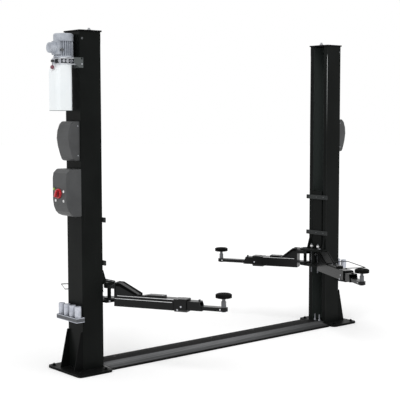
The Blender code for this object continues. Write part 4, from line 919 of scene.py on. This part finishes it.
for name, (side_name, sign, _, length) in ARMS.items():
    reach = REACH[length]
    across = (on_arm(name, 0, 1, 0) - on_arm(name, 0, 0, 0)).normalized()
    for stage in ("outer", "middle", "inner"):
        wear(f"{name}_arm_{stage}", ARM_COAT)
    wear(f"{name}_lock_rod", ROD_GREY)
    bm = bmesh.new()
    head = at_post(side_name, ROD_X, sign * ROD_Y, CARRIAGE_HEIGHT[side_name] + ROD_HEAD)
    turned_on(bm, ROD_HEAD_OUTLINE, head, UP, 24)
    piece_of(bm, f"{name}_lock_rod_head", HEAD_WHITE, f"{name}_lock_rod")
    bm = bmesh.new()
    for v in (-1, 1):
        for u, z in COLLAR_BOLTS[name]:
            collar_bolt = on_arm(name, reach["mouth"] + u, v * COLLAR_SIDE, z)
            bolt_on(bm, collar_bolt, across * v, across=0.014, tall=0.005, washer=False)
    plate_from, plate_to = reach["plate"]
    for u in (plate_from + PLATE_INSET, plate_to - PLATE_INSET):
        for v in (-PLATE_SCREW_SIDE, PLATE_SCREW_SIDE):
            screw_on(bm, on_arm(name, u, v, PLATE_LEVEL), UP, radius=0.005, tall=0.0025)
    piece_of(bm, f"{name}_collar_bolts", ZINC, f"{name}_arm_outer")
    bm = bmesh.new()
    for v in (-1, 1):
        set_screw = on_arm(name, reach["boss"] - 0.020, v * SOCKET_SIDE, -0.016)
        screw_on(bm, set_screw, across * v, radius=0.007, tall=0.002)
    piece_of(bm, f"{name}_set_screws", BRIGHT, f"{name}_arm_inner")
    # The wedge's walls carry a black strip of painted shade under their top edges. Each row is a
    # place and two heights.
    shade_rows = (
        (0.086, 0.146, 0.124), (0.119, 0.146, 0.124), (reach["wedge"] - 0.012, 0.064, 0.052),
    )
    bm = bmesh.new()
    for v in (-1, 1):
        bar_on(bm, [
            [
                on_arm(name, u, v * w, level)
                for w, level in (
                    (SHADE_BACK, high), (SHADE_FACE, high), (SHADE_FACE, low), (SHADE_BACK, low),
                )
            ]
            for u, high, low in shade_rows
        ])
    piece_of(bm, f"{name}_wedge_shade", WEDGE_SHADE, f"{name}_arm_outer")
    # Light strips along the tubes' top edges carry painted highlights.
    if not HIGHLIGHT_LINES[name]:
        continue
    bm = bmesh.new()
    for v in (-1, 1):
        for side, z, u_from, u_to in HIGHLIGHT_LINES[name]:
            bar_on(bm, [
                [on_arm(name, u, v * (side + dv), z + dz) for dv, dz in HIGHLIGHT_OUTLINE]
                for u in (u_from, u_to)
            ])
    piece_of(bm, f"{name}_edge_highlights", EDGE_HIGHLIGHT, f"{name}_arm_outer")

# ---------------------------------------------------------------- lift pads
# A pad is a thick moulded rubber disc with a ribbed rim and ridges on top, on a threaded stem of
# two zinc plated parts, one inside the other.
PAD_RADIUS, PAD_LOW, PAD_TALL, PAD_RIBS = 0.065, 0.0874, 0.023, 44
RIB_ENDS = (PAD_LOW - 0.008, PAD_LOW + PAD_TALL - 0.004)
RIB_OUTLINE = (
    (PAD_RADIUS - 0.002, -0.0029), (PAD_RADIUS + 0.0016, -0.0019),
    (PAD_RADIUS + 0.0016, 0.0019), (PAD_RADIUS - 0.002, 0.0029),
)
PAD_SKIRT = (
    (0.059, -0.0105), (0.0635, -0.009), (PAD_RADIUS - 0.0004, -0.006), (PAD_RADIUS - 0.0004, 0.004),
)
THREAD_PITCH, THREAD_WIRE = 0.0055, 0.0005
STEM_ZINC = plated("stem_zinc", tone(112, 113, 116), 0.36, 0.5)
for name, (_, _, _, length) in ARMS.items():
    centre = on_arm(name, REACH[length]["boss"], 0, 0)
    wear(f"{name}_lift_pad", rubber.material)
    wear(f"{name}_pad_screw", STEM_ZINC)
    bm = bmesh.new()
    for i in range(PAD_RIBS):
        matrix = Matrix.Translation(centre) @ Matrix.Rotation(2 * math.pi * i / PAD_RIBS, 4, "Z")
        bar_on(bm, [[matrix @ Vector((x, y, z)) for x, y in RIB_OUTLINE] for z in RIB_ENDS])
    turned_on(bm, PAD_SKIRT, centre + Vector((0, 0, PAD_LOW)), UP, 48)
    for radius in (0.018, 0.030, 0.042, 0.054):
        ridge = (
            (radius + 0.0032, -0.0005), (radius + 0.0020, 0.0016), (radius - 0.0020, 0.0016),
            (radius - 0.0032, -0.0005),
        )
        turned_on(bm, ridge, centre + Vector((0, 0, PAD_LOW + PAD_TALL)), UP, 48)
    piece_of(bm, f"{name}_pad_ribs", rubber.material, f"{name}_lift_pad")
    bm = bmesh.new()
    for radius, low, high in ((0.0199, 0.0015, 0.0475), (0.0139, 0.0500, 0.0860)):
        turns = int((high - low) / THREAD_PITCH)
        coil_on(bm, centre, radius, THREAD_WIRE, low, high, turns, steps=28)
    piece_of(bm, f"{name}_pad_threads", STEM_ZINC, f"{name}_lift_pad")
